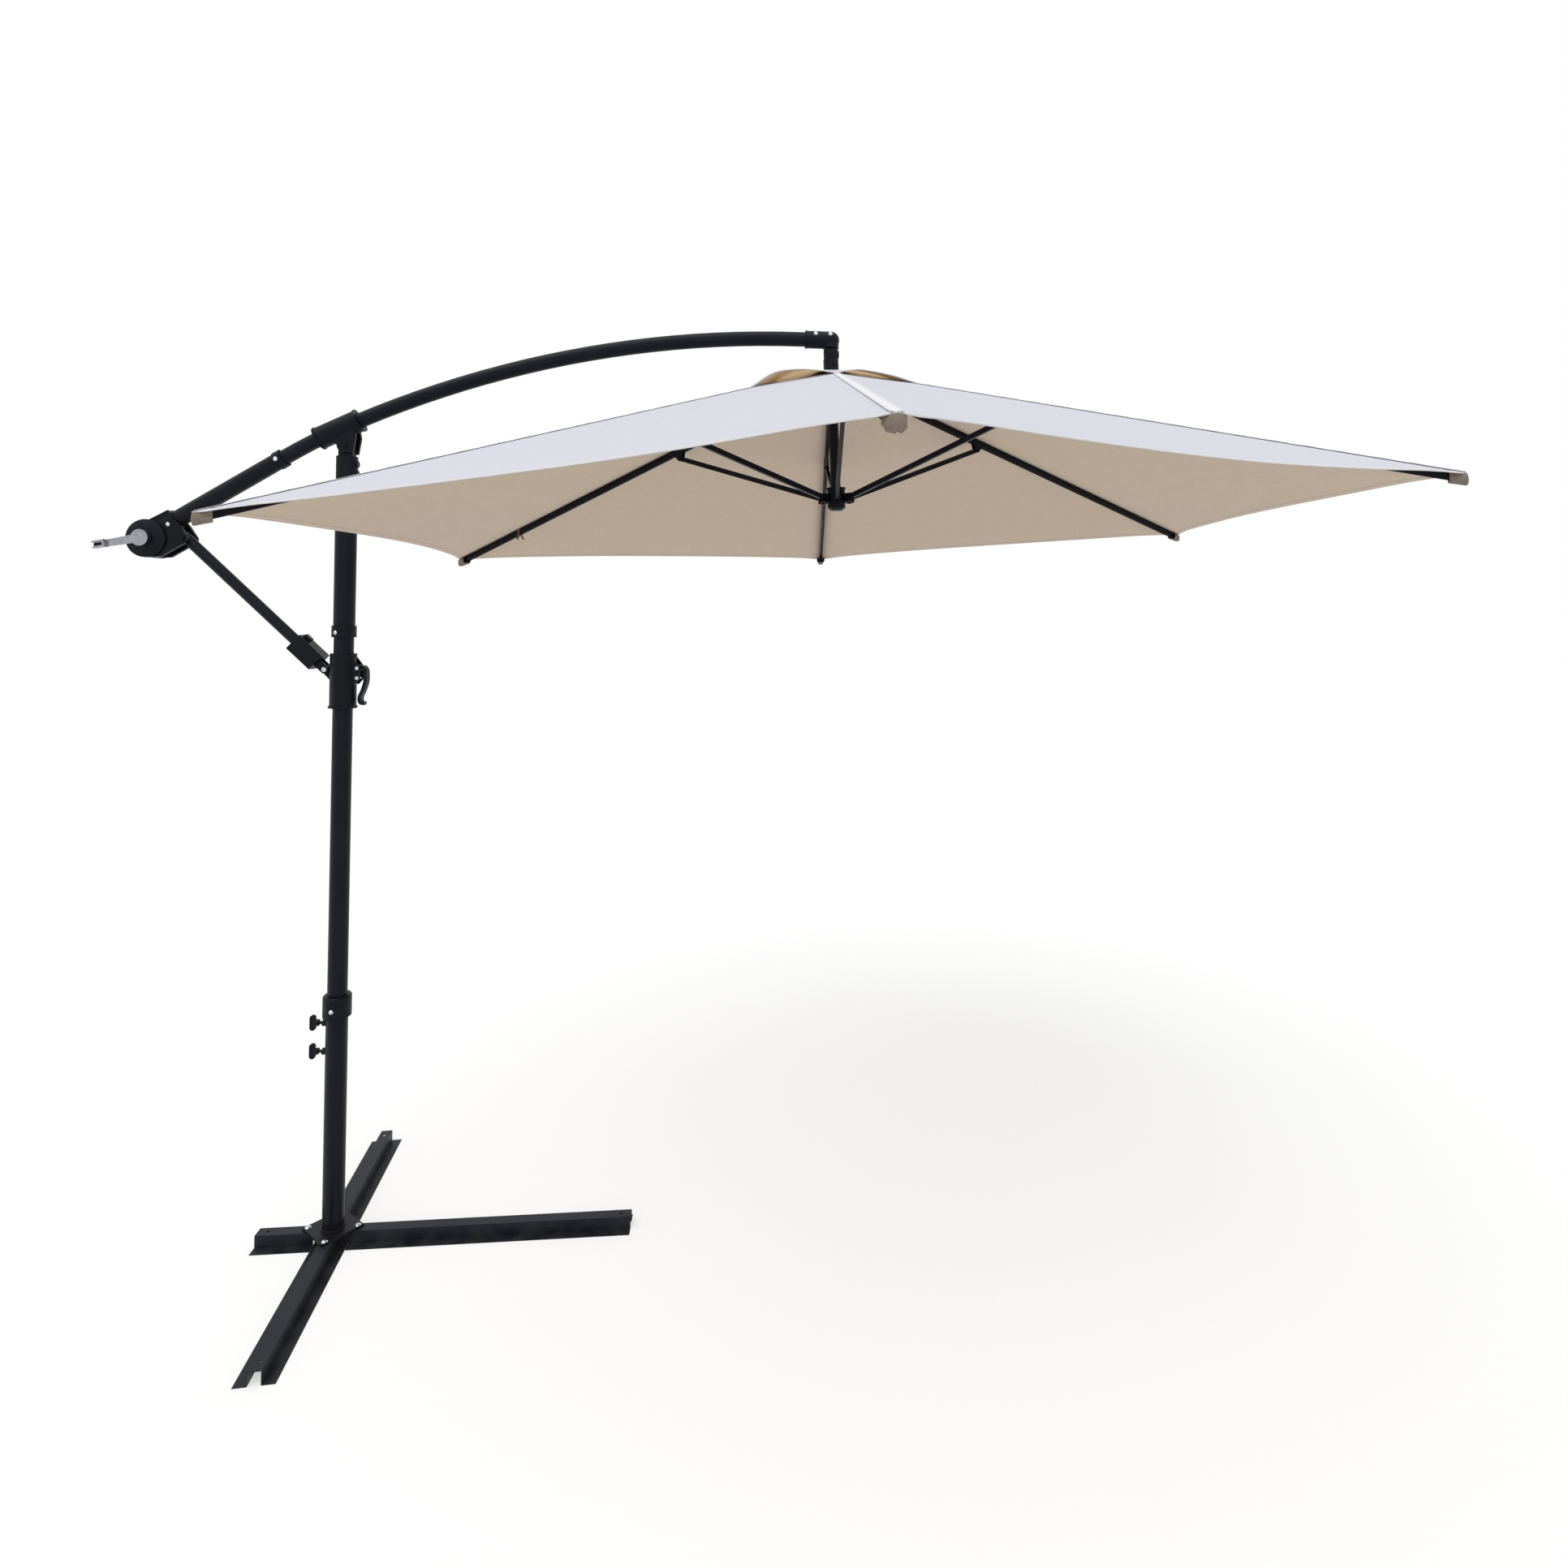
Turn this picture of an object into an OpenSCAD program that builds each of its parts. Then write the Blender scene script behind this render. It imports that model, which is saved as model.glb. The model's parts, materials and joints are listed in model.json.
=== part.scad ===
// Cantilever patio umbrella on a crossed steel base. Millimetres, +Z up.
// The mast stands on the origin and the arm reaches towards +X.

/* [Base] */
// Turn of the long beam about the mast, in degrees
base_turn = 3; // [-30:0.5:30]
// How far the two beams cross out of square, in degrees
cross_skew = 4; // [-5:0.5:5]
// Length of the long beam
long_beam_len = 997; // [800:1:1300]
// How far the long beam reaches behind the mast
long_beam_back = 195; // [150:1:300]
// Length of the cross beam
cross_beam_len = 996; // [800:1:1300]
// Height of both beams
beam_h = 34; // [28:1:50]
// Width of the ridge of both beams
ridge_w = 33; // [30:1:50]
// Width of both beams over their flanges
flange_w = 90; // [76:1:110]
// Sheet thickness of the beams
beam_t = 2; // [1.5:0.5:3]
// Radius of the hole in each end of the ridges
end_hole_r = 4; // [2:0.5:6]
// Distance of that hole from the end of the beam
end_hole_in = 28; // [15:1:60]

/* [Stand post] */
// Outer diameter of the stand post
post_od = 55; // [54:0.5:60]
// Wall of the stand post
post_wall = 2; // [1.5:0.1:2.2]
// Side of the square base plate
plate_w = 112; // [104:1:130]
// Thickness of the base plate
plate_t = 6; // [4:0.5:10]
// Radius of the circle of base bolts
bolt_circle_r = 65; // [58:1:67]
// Radius of the base bolts
base_bolt_r = 4; // [3:0.5:5]
// Height of the collar's lower end above the ground
collar_z = 618; // [560:1:760]
// Height of the stand collar
collar_h = 58; // [40:1:80]
// Outer diameter of the stand collar
collar_od = 72; // [66:1:80]
// Height of the upper thumb screw
thumb_hi_z = 598; // [560:1:606]
// Height of the lower thumb screw
thumb_lo_z = 520; // [440:1:540]
// Radius of the thumb screws' shank
thumb_r = 4; // [3:0.5:5]
// Outer radius of the thumb screws' welded nuts
thumb_nut_r = 9; // [8:0.5:12]

/* [Mast] */
// Outer diameter of the lower mast tube
mast_od = 50; // [44:0.5:50]
// Wall of both mast tubes
mast_wall = 1.8; // [1.2:0.1:2.5]
// Outer diameter of the upper mast tube
top_tube_od = 54.4; // [54:0.1:58]
// Height of the stop collar's lower end
stop_z = 1655; // [1653:1:1680]
// Height of the stop collar
stop_h = 31; // [24:1:50]
// Outer diameter of the stop collar
stop_od = 62; // [60:1:70]
// Length of lower tube inside the upper one
mast_overlap = 120; // [80:1:200]
// Height of the arm's pin above the ground
head_z = 2178; // [2176:1:2380]
// Distance from the arm's pin down to the head's shoulder
head_drop = 29; // [28:1:40]
// Height of the head's body below that shoulder
head_body_h = 60; // [40:1:80]
// Radius of the arm's pin
head_pin_r = 5; // [4:0.5:6]
// Radius of the knuckle round the arm's pin
head_knuckle_r = 20; // [17:0.5:22]
// Half width of the head's middle lug
head_lug_half = 12; // [9:0.5:14]

/* [Arm] */
// Slope of the arm's lower, straight part, in degrees
arm_slope = 32.3; // [31:0.1:34]
// Slope of the arm where the bracket holds it, in degrees
bracket_slope = 26.2; // [25:0.1:28]
// Distance of the arm's centre line from the arm's pin
bracket_rise = 50.5; // [50:0.5:60]
// Bend radius of the arm behind the bracket
rear_bend_r = 1500; // [1200:10:1800]
// Bend radius of the arm in front of the bracket
front_bend_r = 2850; // [2600:10:3100]
// Outer diameter of the bent arm tube
arm_od = 40; // [36:0.5:40]
// Wall of the arm tubes
arm_wall = 1.8; // [1.2:0.1:2.5]
// Outer diameter of the straight, lower arm tube
low_arm_od = 45; // [44.4:0.1:46]
// Length of bent tube inside the straight one
arm_overlap = 110; // [80:1:160]
// Outer diameter of the ring where the arm tubes meet
ring_od = 50; // [49:0.5:56]
// Width of that ring
ring_w = 20; // [14:1:30]
// Length of the bracket's sleeve
bracket_len = 122; // [110:1:140]
// Outer diameter of the bracket's sleeve
bracket_od = 60; // [54:0.5:61]
// Thickness of each cheek of the bracket
bracket_cheek_t = 8; // [5:0.5:10]

/* [Brace and slider] */
// Distance along the arm from the rear bend back to the brace's upper pin
brace_along = 339.5; // [330:0.5:345]
// Distance of the brace's upper pin below the arm's centre line
brace_drop = 59; // [57:0.5:62]
// Distance between the brace's two pins
brace_len = 509.4; // [505:0.1:515]
// Distance of the brace's lower pin from the mast's axis
brace_pin_x = 45; // [44:0.5:50]
// Outer diameter of the brace tube
brace_od = 29; // [24:0.5:29]
// Wall of the brace tube
brace_wall = 1.8; // [1.2:0.1:2.5]
// Radius of the brace's pins
brace_pin_r = 4; // [3:0.5:5]
// Play of the brace's upper eye round its pin
brace_eye_play = 4; // [3.5:0.5:5]
// Length of the brace's socket
socket_len = 83; // [70:1:95]
// Height of the brace's socket across the brace
socket_h = 50; // [40:1:54]
// Width of the brace's socket
socket_w = 44; // [38:1:50]
// Distance from the brace's lower pin to the socket's block
socket_off = 27; // [24:1:34]
// Outer diameter of the slider
slider_od = 67; // [64:0.5:70]
// Slider length below the brace's lower pin
slider_below = 105; // [90:1:120]
// Slider length above the brace's lower pin
slider_above = 44; // [36:1:45]
// Thickness of the slider's plastic liner
liner_t = 2; // [1.5:0.1:3]
// Distance of the cam lever's pin from the mast's axis
cam_pin_x = 43.5; // [43.5:0.5:48]
// Height of the cam lever's pin above the brace's lower pin
cam_pin_up = 5; // [0:1:15]
// Radius of the cam lever's pin
cam_pin_r = 3; // [2:0.5:4]
// Radius of the cam
cam_r = 9; // [8:0.5:9.5]
// Width of the cam lever
cam_w = 22; // [18:1:26]
// Thickness of the cam lever
cam_t = 9; // [5:0.5:10]
// Length of the cam lever below its pin
cam_len = 97; // [80:1:105]

/* [Crank] */
// Distance along the arm from the rear bend back to the crank's axis
crank_along = 417.5; // [410:0.5:430]
// Distance of the crank's axis below the arm's centre line
crank_drop = 12; // [10:0.5:16]
// Outer radius of the crank's housing
drum_r = 51; // [48:0.5:56]
// Front face of the housing, measured from the arm's middle plane
drum_front = 27; // [24:1:32]
// Back face of the housing, measured from the arm's middle plane
drum_back = 36; // [30:1:44]
// Wall of the crank's housing
drum_wall = 3; // [2:0.5:5]
// Height of the domed cover
cover_h = 12; // [8:1:16]
// Height of the cover's straight rim
cover_rim = 3; // [2:0.5:5]
// Radius of the reel's barrel
reel_r = 8; // [7.5:0.5:10]
// Radius of the reel's flanges
reel_flange_r = 42; // [36:0.5:44]
// Radius of the crank's shaft
shaft_r = 6; // [5:0.5:8]
// Distance from the crank's axis to its grip
crank_len = 104; // [90:1:150]
// Droop of the crank lever below level, in degrees
crank_droop = 11; // [0:1:40]
// Radius of the crank's boss
crank_boss_r = 22; // [18:0.5:26]
// Width of the crank lever
crank_bar_w = 20; // [14:1:26]
// Thickness of the crank lever
crank_bar_t = 6; // [4:0.5:9]

/* [Canopy joint] */
// Distance from the mast's axis to the canopy's swing pin
reach = 1320; // [1315:1:1400]
// Distance of the swing pin below the arm's centre line
swing_drop = 38; // [37:0.5:46]
// Lean of the canopy's pole, in degrees
canopy_tilt = 3.28; // [0:0.1:8]
// Outer diameter of the elbow's sleeve
elbow_od = 48; // [46:0.5:52]
// Length of the elbow's sleeve behind the swing pin
elbow_len = 73; // [66:1:90]
// Radius of the swing pin
swing_pin_r = 4; // [3:0.5:5]
// Half width of the elbow's tongue
tongue_half = 9; // [7:0.5:11]
// Radius of the elbow's tongue round the swing pin
tongue_r = 16; // [15:0.5:17]
// Outer diameter of the pole's socket
pole_socket_od = 43; // [40:0.5:46]
// Length of the pole's socket below the swing pin
pole_socket_below = 50; // [46:0.5:50.5]
// Radius at which the rope runs over the pulley
pulley_rope_r = 12; // [11:0.5:13]
// Distance of the rope from the pole's axis
rope_off = 9.5; // [9:0.5:10]
// Radius of the rope
rope_r = 2; // [1.5:0.1:2.5]

/* [Canopy frame] */
// Outer diameter of the canopy's pole
pole_od = 28; // [26:0.5:30]
// Wall of the canopy's pole
pole_wall = 1.5; // [1:0.1:1.6]
// Distance from the swing pin down to the ribs' pins
hub_drop = 69; // [68.5:0.5:76]
// Distance of the ribs' pins from the pole's axis
hub_pin_ring_r = 38; // [36:0.5:44]
// Outer radius of the top hub
hub_r = 50; // [47:0.5:58]
// Half height of the top hub
hub_half = 9; // [8:0.5:10]
// Radius of the canopy at its corners
canopy_r = 1500; // [1300:5:1700]
// Drop from the ribs' pins to the ribs' tips
canopy_drop = 432; // [400:1:520]
// Width of a rib
rib_w = 12; // [10:0.5:14]
// Height of a rib
rib_h = 18; // [15:0.5:20]
// Sheet thickness of the ribs
rib_t = 1.4; // [1:0.1:2]
// Radius of the pins in the ribs and struts
rib_pin_r = 2.5; // [2:0.5:3]
// Distance along a rib to the pin of its strut
strut_at = 520.7; // [480:1:560]
// Distance of that pin below the rib's middle
strut_drop = 23.6; // [22:0.1:28]
// Height of a strut
strut_h = 15; // [12:0.5:16]
// Width of a strut
strut_w = 10; // [8:0.5:11]
// Outer radius of the runner's body
runner_r = 25; // [22:0.5:27]
// Length of the runner above the struts' pins
runner_above = 30; // [20:1:36]
// Length of the runner below the struts' pins
runner_below = 34; // [28:1:44]

/* [Canopy cover] */
// Thickness of the fabric
fabric_t = 1.6; // [1.2:0.1:2.5]
// Gap between the ribs and the fabric
fabric_gap = 0.8; // [0.4:0.1:1]
// Corner radius of the vent in the cover
vent_r = 185; // [160:1:210]
// Corner radius of the vent cap
cap_r = 258; // [240:1:290]
// How far the hems are cut inwards between the ribs
hem_cut = 60; // [20:1:100]
// Sag of the fabric between the ribs at the hem
hem_sag = 22; // [0:1:40]
// Rise of the vent cap's hem between its corners
cap_arch = 34; // [10:1:45]

/* [Fits] */
// Gap between a screw or pin and its hole
pin_gap = 0.15; // [0.1:0.01:0.25]
// Gap between tubes that fit inside each other
tube_gap = 0.2; // [0.1:0.05:0.3]
// Gap between parts that slide or turn past each other
run_gap = 0.4; // [0.3:0.05:0.5]

/* [Hidden] */
$fn = 72;
eps = 0.01;

black = [0.11, 0.11, 0.12];
charcoal = [0.23, 0.24, 0.25];
silver = [0.8, 0.81, 0.83];
white = [0.87, 0.87, 0.9];

// Stand
bolt_turns = [for (a = [0, 180]) each [base_turn + a, base_turn + cross_skew + 90 + a]];
plate_z = beam_h;
post_z = plate_z + plate_t;
post_top = collar_z + collar_h - 16;
post_ir = post_od / 2 - post_wall;
thumb_nut_out = post_od / 2 + 9;
foot_h = 8;
collar_screw_z = collar_z + 22;
collar_screw_r = 3;

// Mast
mast_r = mast_od / 2;
mast_z = post_z + foot_h;
top_tube_z = stop_z + stop_h / 2;
stop_screw_z = top_tube_z - collar_screw_r - 0.5;
head_z0 = head_z - head_drop - head_body_h;

// Hairline gap between two lengths of tube at a weld
seam = 0.02;

// Arm: points are [x, z] pairs in the arm's plane
function tangent(a) = [cos(a), sin(a)];
function normal(a) = [-sin(a), cos(a)];
bracket_c = [0, head_z] + bracket_rise * normal(bracket_slope);
rear_bend_c = bracket_c - rear_bend_r * normal(bracket_slope);
front_bend_c = bracket_c - front_bend_r * normal(bracket_slope);
bend_start = rear_bend_c + rear_bend_r * normal(arm_slope);
bend_end = front_bend_c + [0, front_bend_r];
function arm_point(back, up) =
    bend_start - back * tangent(arm_slope) + up * normal(arm_slope);
arm_z = bend_end[1];
low_arm_back = brace_along + 31;
ring_back = 16;
crank_c = arm_point(crank_along, -crank_drop);
brace_c = arm_point(brace_along, -brace_drop);
housing_screw = arm_point(brace_along + 12, -8);
ring_screw = arm_point(ring_back + 4, 0);
cheek_y0 = head_lug_half + run_gap;
cheek_y1 = cheek_y0 + bracket_cheek_t;
arm_screw_r = 3;
// Flat seats of the arm's screws: their radius, and how far out each one lies
seat_r = 2 * arm_screw_r + run_gap;
ring_seat = ring_od / 2 - 0.6;
elbow_seat = elbow_od / 2 - 3.5;
elbow_screw_xs = [reach - 43, reach - 2];

// Slider and brace
brace_run = -brace_pin_x - brace_c[0];
brace_fall = sqrt(brace_len * brace_len - brace_run * brace_run);
slider_c = [-brace_pin_x, brace_c[1] - brace_fall];
brace_slope = atan2(brace_fall, brace_run);
slider_z0 = slider_c[1] - slider_below;
slider_z1 = slider_c[1] + slider_above;
slider_ir = mast_r + run_gap + liner_t;
cam_c = [cam_pin_x, slider_c[1] + cam_pin_up];
// Rivet that ties the lever's two lugs together below the cam
tie_c = cam_c + [0, -27];
// Half gap and half width of the housing's cheeks about the brace
cheek_in = brace_od / 2 + 1;
cheek_out = low_arm_od / 2 + 2.5;
lug_half = 7;
fork_half = lug_half + run_gap;
fork_cheek_t = 6;
lug_r = 11;

// Crank
reel_front = drum_front - drum_wall - 3;
reel_back = drum_back - drum_wall - 1;
cover_out = drum_front + cover_h;
boss_y0 = cover_out + run_gap;
boss_y1 = boss_y0 + 15;
bar_y0 = boss_y0 + 3;
// Fork that holds the grip: its outer end, and the outer face of its bridge
fork_tip = crank_len + 14;
fork_bridge = crank_len - 11;
fork_h = 16;
fork_t = 5;

// Elbow and swing joint
swing_z = arm_z - swing_drop;
leg_z = arm_z - elbow_od / 2;
elbow_screw_z = arm_z + elbow_od / 4;
arm_end = reach - 24;
rope_up = reel_r + rope_r - crank_drop;
pulley_c = [reach + rope_off - pulley_rope_r, arm_z + rope_up - pulley_rope_r];
pulley_half = 3.5;
rope_tail = 10;
pulley_or = pulley_rope_r + 1.6;
socket_top = leg_z - swing_z - 3.8;
pole_top = -tongue_r - 5;
// Screw that holds the pole in its socket, in the canopy's frame
socket_screw_x = 12;
socket_screw_y = 3 - pole_socket_od / 2;
socket_screw_z = -34;
socket_screw_len = 7.5;

// Canopy frame, in the pole's own frame with the swing pin at its origin
hub_z = -hub_drop;
rib_run = canopy_r - hub_pin_ring_r;
rib_slope = atan2(canopy_drop, rib_run);
rib_len = norm([rib_run, canopy_drop]);
link_len = norm([strut_at, strut_drop]);
link_slope = rib_slope + atan2(strut_drop, strut_at);
runner_z = hub_z - 2 * link_len * sin(link_slope);
runner_top = runner_z + runner_above;
runner_bottom = runner_z - runner_below;
pole_bottom = runner_z - 14;
clevis_half = rib_w / 2;
strut_hole_r = rib_pin_r + pin_gap;
cap_in_r = pole_socket_od / 2 + 2;
// Plumb height of the fabric's middle over a rib's middle line: the panels fall away
// from the ridge, so the gap is kept at the rib's edges
edge_fall = rib_w / 2 * (tan(30) * tan(rib_slope) + 4 * hem_sag / canopy_r);
fabric_up = (rib_h / 2 + fabric_gap + fabric_t / 2) / cos(rib_slope) + edge_fall;
cap_top_z = hub_z + fabric_up + (hub_pin_ring_r - cap_in_r) * tan(rib_slope);
function fabric_z(r) = hub_z - (r - hub_pin_ring_r) * tan(rib_slope) + fabric_up;

// ---- shared shapes ----

module along_y(x, z, r, y0, y1) {
    translate([x, y1, z]) rotate([90, 0, 0]) cylinder(r = r, h = y1 - y0);
}

module along_x(x0, x1, y, z, r) {
    translate([x0, y, z]) rotate([0, 90, 0]) cylinder(r = r, h = x1 - x0);
}

// A flat outline drawn in the arm's plane, from y0 to y1
module slab_y(y0, y1) {
    translate([0, y1, 0]) rotate([90, 0, 0]) linear_extrude(y1 - y0) children();
}

// Its child's +Z lies along the slope a, starting at point p of the arm's plane
module on_slope(p, a) {
    translate([p[0], 0, p[1]]) rotate([0, 90 - a, 0]) children();
}

module ring(r0, r1, h) {
    difference() {
        cylinder(r = r1, h = h);
        translate([0, 0, -eps]) cylinder(r = r0, h = h + 2 * eps);
    }
}

// Bent tube or rod round centre c, between two slopes of its tangent
module bend(c, r, a0, a1, r_out, r_in) {
    translate([c[0], 0, c[1]]) rotate([90, 0, 0]) rotate([0, 0, 90 + a0])
        rotate_extrude(angle = a1 - a0) translate([r, 0]) difference() {
            circle(r = r_out);
            if (r_in > 0) circle(r = r_in);
        }
}

// Pan-head screw along +Z with its head's underside at z = 0
module screw(r, len) {
    translate([0, 0, -len]) cylinder(r = r, h = len + eps);
    intersection() {
        translate([0, 0, -1.6 * r]) sphere(r = 2.6 * r);
        cylinder(r = 2 * r, h = 1.2 * r);
    }
}

// Screw whose head shows on the side of the arm towards -Y
module screw_y(x, z, y, r, len) {
    translate([x, -y, z]) rotate([90, 0, 0]) screw(r, len);
}

// ---- stand ----

module hat_section(len) {
    rotate([90, 0, 90]) linear_extrude(len) polygon([
        [-flange_w / 2, 0], [-ridge_w / 2 + beam_t, 0],
        [-ridge_w / 2 + beam_t, beam_h - beam_t], [ridge_w / 2 - beam_t, beam_h - beam_t],
        [ridge_w / 2 - beam_t, 0], [flange_w / 2, 0], [flange_w / 2, beam_t],
        [ridge_w / 2, beam_t], [ridge_w / 2, beam_h], [-ridge_w / 2, beam_h],
        [-ridge_w / 2, beam_t], [-flange_w / 2, beam_t]
    ]);
}

module ridge_holes(xs) {
    for (x = xs) translate([x, 0, 0]) cylinder(r = end_hole_r, h = 2 * beam_h);
}

module bolt_holes() {
    for (a = bolt_turns) rotate(a) translate([bolt_circle_r, 0, 0])
        cylinder(r = base_bolt_r + pin_gap, h = 2 * beam_h);
}

module long_beam() {
    gap_w = flange_w + 2;
    color(charcoal) difference() {
        rotate(base_turn) translate([-long_beam_back, 0, 0]) hat_section(long_beam_len);
        rotate(base_turn + cross_skew) translate([-gap_w / 2, -flange_w, -1])
            cube([gap_w, 2 * flange_w, beam_h / 2 + 1.2]);
        rotate(base_turn)
            ridge_holes([end_hole_in - long_beam_back, long_beam_len - long_beam_back - end_hole_in]);
        bolt_holes();
    }
}

module cross_beam() {
    gap_w = ridge_w + 2 * run_gap;
    color(charcoal) difference() {
        rotate(base_turn + cross_skew + 90) translate([-cross_beam_len / 2, 0, 0])
            hat_section(cross_beam_len);
        rotate(base_turn + 90) translate([-gap_w / 2, -flange_w, beam_h / 2])
            cube([gap_w, 2 * flange_w, beam_h]);
        rotate(base_turn + cross_skew + 90)
            ridge_holes([end_hole_in - cross_beam_len / 2, cross_beam_len / 2 - end_hole_in]);
        bolt_holes();
    }
}

module stand_post() {
    color(black) difference() {
        union() {
            translate([0, 0, post_z - eps]) cylinder(d = post_od, h = post_top - post_z);
            rotate(base_turn + cross_skew / 2 + 45) translate([-plate_w / 2, -plate_w / 2, plate_z])
                cube([plate_w, plate_w, plate_t]);
            for (z = [thumb_hi_z, thumb_lo_z])
                along_x(-thumb_nut_out, -post_ir - 0.5, 0, z, thumb_nut_r);
        }
        translate([0, 0, post_z]) cylinder(r = post_ir, h = post_top);
        for (z = [thumb_hi_z, thumb_lo_z])
            along_x(-post_od, 0, 0, z, thumb_r + pin_gap);
        translate([0, 0, collar_screw_z]) rotate([90, 0, 0])
            cylinder(r = collar_screw_r + pin_gap, h = post_od);
        bolt_holes();
    }
}

module base_bolts() {
    color(silver) for (a = bolt_turns) rotate(a)
        translate([bolt_circle_r, 0, post_z]) screw(base_bolt_r, plate_t + beam_t + 9);
}

module base_nuts() {
    color(silver) for (a = bolt_turns) rotate(a)
        translate([bolt_circle_r, 0, plate_z - beam_t - 6]) difference() {
            cylinder(r = 1.9 * base_bolt_r, h = 6, $fn = 6);
            translate([0, 0, -eps]) cylinder(r = base_bolt_r + pin_gap, h = 7);
        }
}

module stand_collar() {
    cap_h = collar_z + collar_h - post_top;
    color(black) difference() {
        union() {
            translate([0, 0, collar_z]) cylinder(d = collar_od, h = collar_h - 4);
            translate([0, 0, collar_z + collar_h - 4 - eps])
                cylinder(d1 = collar_od, d2 = collar_od - 6, h = 4);
        }
        translate([0, 0, collar_z - eps]) cylinder(r = post_od / 2 + tube_gap, h = collar_h - cap_h + eps);
        translate([0, 0, collar_z]) cylinder(r = mast_r + run_gap, h = collar_h + 1);
        translate([0, 0, collar_screw_z]) rotate([90, 0, 0])
            cylinder(r = collar_screw_r + pin_gap, h = collar_od);
    }
}

module collar_screw() {
    color(silver) screw_y(0, collar_screw_z, collar_od / 2, collar_screw_r, collar_od / 2 - post_ir - 0.3);
}

module thumb_screw(z) {
    head_x = thumb_nut_out + 11;
    color(black) {
        along_x(-head_x - eps, -mast_r - run_gap, 0, z, thumb_r);
        along_x(-head_x - 12, -head_x, 0, z, 9);
        slab_y(-3.5, 3.5) translate([-head_x - 12, z]) {
            for (s = [-1, 1]) translate([-4, s * 13]) circle(r = 8);
            translate([-12, -14]) square([14, 28]);
        }
    }
}

// ---- mast ----

module mast_foot() {
    color(black) {
        translate([0, 0, post_z]) cylinder(r = mast_r, h = foot_h);
        translate([0, 0, mast_z - eps]) cylinder(r = mast_r - mast_wall - tube_gap, h = 30);
    }
}

module mast_lower_tube() {
    color(black) translate([0, 0, mast_z])
        ring(mast_r - mast_wall, mast_r, top_tube_z + mast_overlap - mast_z);
}

module mast_upper_tube() {
    color(black) translate([0, 0, top_tube_z])
        ring(mast_r + tube_gap, top_tube_od / 2, head_z0 - top_tube_z);
}

module stop_collar() {
    color(black) difference() {
        translate([0, 0, stop_z]) cylinder(d = stop_od, h = stop_h);
        translate([0, 0, stop_z - eps]) cylinder(r = mast_r + tube_gap, h = stop_h);
        translate([0, 0, top_tube_z]) cylinder(d = top_tube_od + 2 * tube_gap, h = stop_h);
        rotate(-20) translate([0, 0, stop_screw_z]) rotate([90, 0, 0])
            cylinder(r = collar_screw_r + pin_gap, h = stop_od);
    }
}

module stop_screw() {
    color(silver) rotate(-20)
        screw_y(0, stop_screw_z, stop_od / 2, collar_screw_r, stop_od / 2 - mast_r - 0.5);
}

module mast_head() {
    plug_r = mast_r + tube_gap - 0.2;
    color(black) difference() {
        union() {
            translate([0, 0, head_z0]) cylinder(d = top_tube_od, h = head_body_h);
            translate([0, 0, head_z0 - 40]) cylinder(r = plug_r, h = 40 + eps);
            for (z = [head_z0 + 14, head_z0 + 40])
                along_x(0, top_tube_od / 2 + 3, 0, z, 9);
            slab_y(-head_lug_half, head_lug_half) translate([0, head_z]) {
                circle(r = head_knuckle_r - 1);
                translate([1 - head_knuckle_r, -head_drop - 1])
                    square([2 * head_knuckle_r - 2, head_drop + 1]);
            }
        }
        along_y(0, head_z, head_pin_r + pin_gap, -head_lug_half - 1, head_lug_half + 1);
        translate([0, 0, head_z0 - 41]) cylinder(r = plug_r - 4, h = 78);
    }
}

module head_pin() {
    color(silver) {
        along_y(0, head_z, head_pin_r, -cheek_y1 - 0.2, cheek_y1 + 0.2);
        for (s = [-1, 1]) scale([1, s, 1])
            along_y(0, head_z, 1.6 * head_pin_r, cheek_y1 + 0.1, cheek_y1 + 3);
    }
}

// ---- slider, brake and cam lever ----

module slider_sleeve() {
    lip = 3;
    color(black) difference() {
        union() {
            translate([0, 0, slider_z0]) cylinder(d = slider_od, h = slider_z1 - slider_z0);
            translate([0, 0, slider_z0]) cylinder(d = slider_od + 2 * lip, h = 6);
            slab_y(-lug_half, lug_half) {
                translate(slider_c) circle(r = lug_r);
                polygon([
                    slider_c + [-lug_r * 0.7, -lug_r * 0.7], slider_c + [lug_r * 0.7, lug_r * 0.7],
                    [-slider_ir - 1, slider_c[1] + lug_r], [-slider_ir - 1, slider_c[1] - 34]
                ]);
            }
            for (s = [-1, 1]) scale([1, s, 1]) slab_y(cam_w / 2 + run_gap, cam_w / 2 + run_gap + 5) {
                translate(cam_c) circle(r = 8);
                translate(tie_c) circle(r = 6);
                polygon([
                    cam_c + [8, 0], cam_c + [2, 8], [24, slider_z1 - 2],
                    [24, tie_c[1] - 18], [36, tie_c[1] - 18], tie_c + [5, -3]
                ]);
            }
        }
        translate([0, 0, slider_z0 - 1]) cylinder(r = slider_ir, h = slider_z1 - slider_z0 + 2);
        along_y(slider_c[0], slider_c[1], brace_pin_r + pin_gap, -slider_od, slider_od);
        for (p = [cam_c, tie_c]) along_y(p[0], p[1], cam_pin_r + pin_gap, -slider_od, slider_od);
        translate([0, -cam_w / 2 - run_gap, cam_c[1] - 12]) cube([slider_od, cam_w + 2 * run_gap, 24]);
    }
}

module slider_liner() {
    color("dimgray") difference() {
        translate([0, 0, slider_z0]) cylinder(r = slider_ir - 0.1, h = slider_z1 - slider_z0);
        translate([0, 0, slider_z0 - 1]) cylinder(r = mast_r + run_gap, h = slider_z1 - slider_z0 + 2);
        translate([0, -cam_w / 2 - run_gap, cam_c[1] - 12]) cube([slider_od, cam_w + 2 * run_gap, 24]);
    }
}

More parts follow.
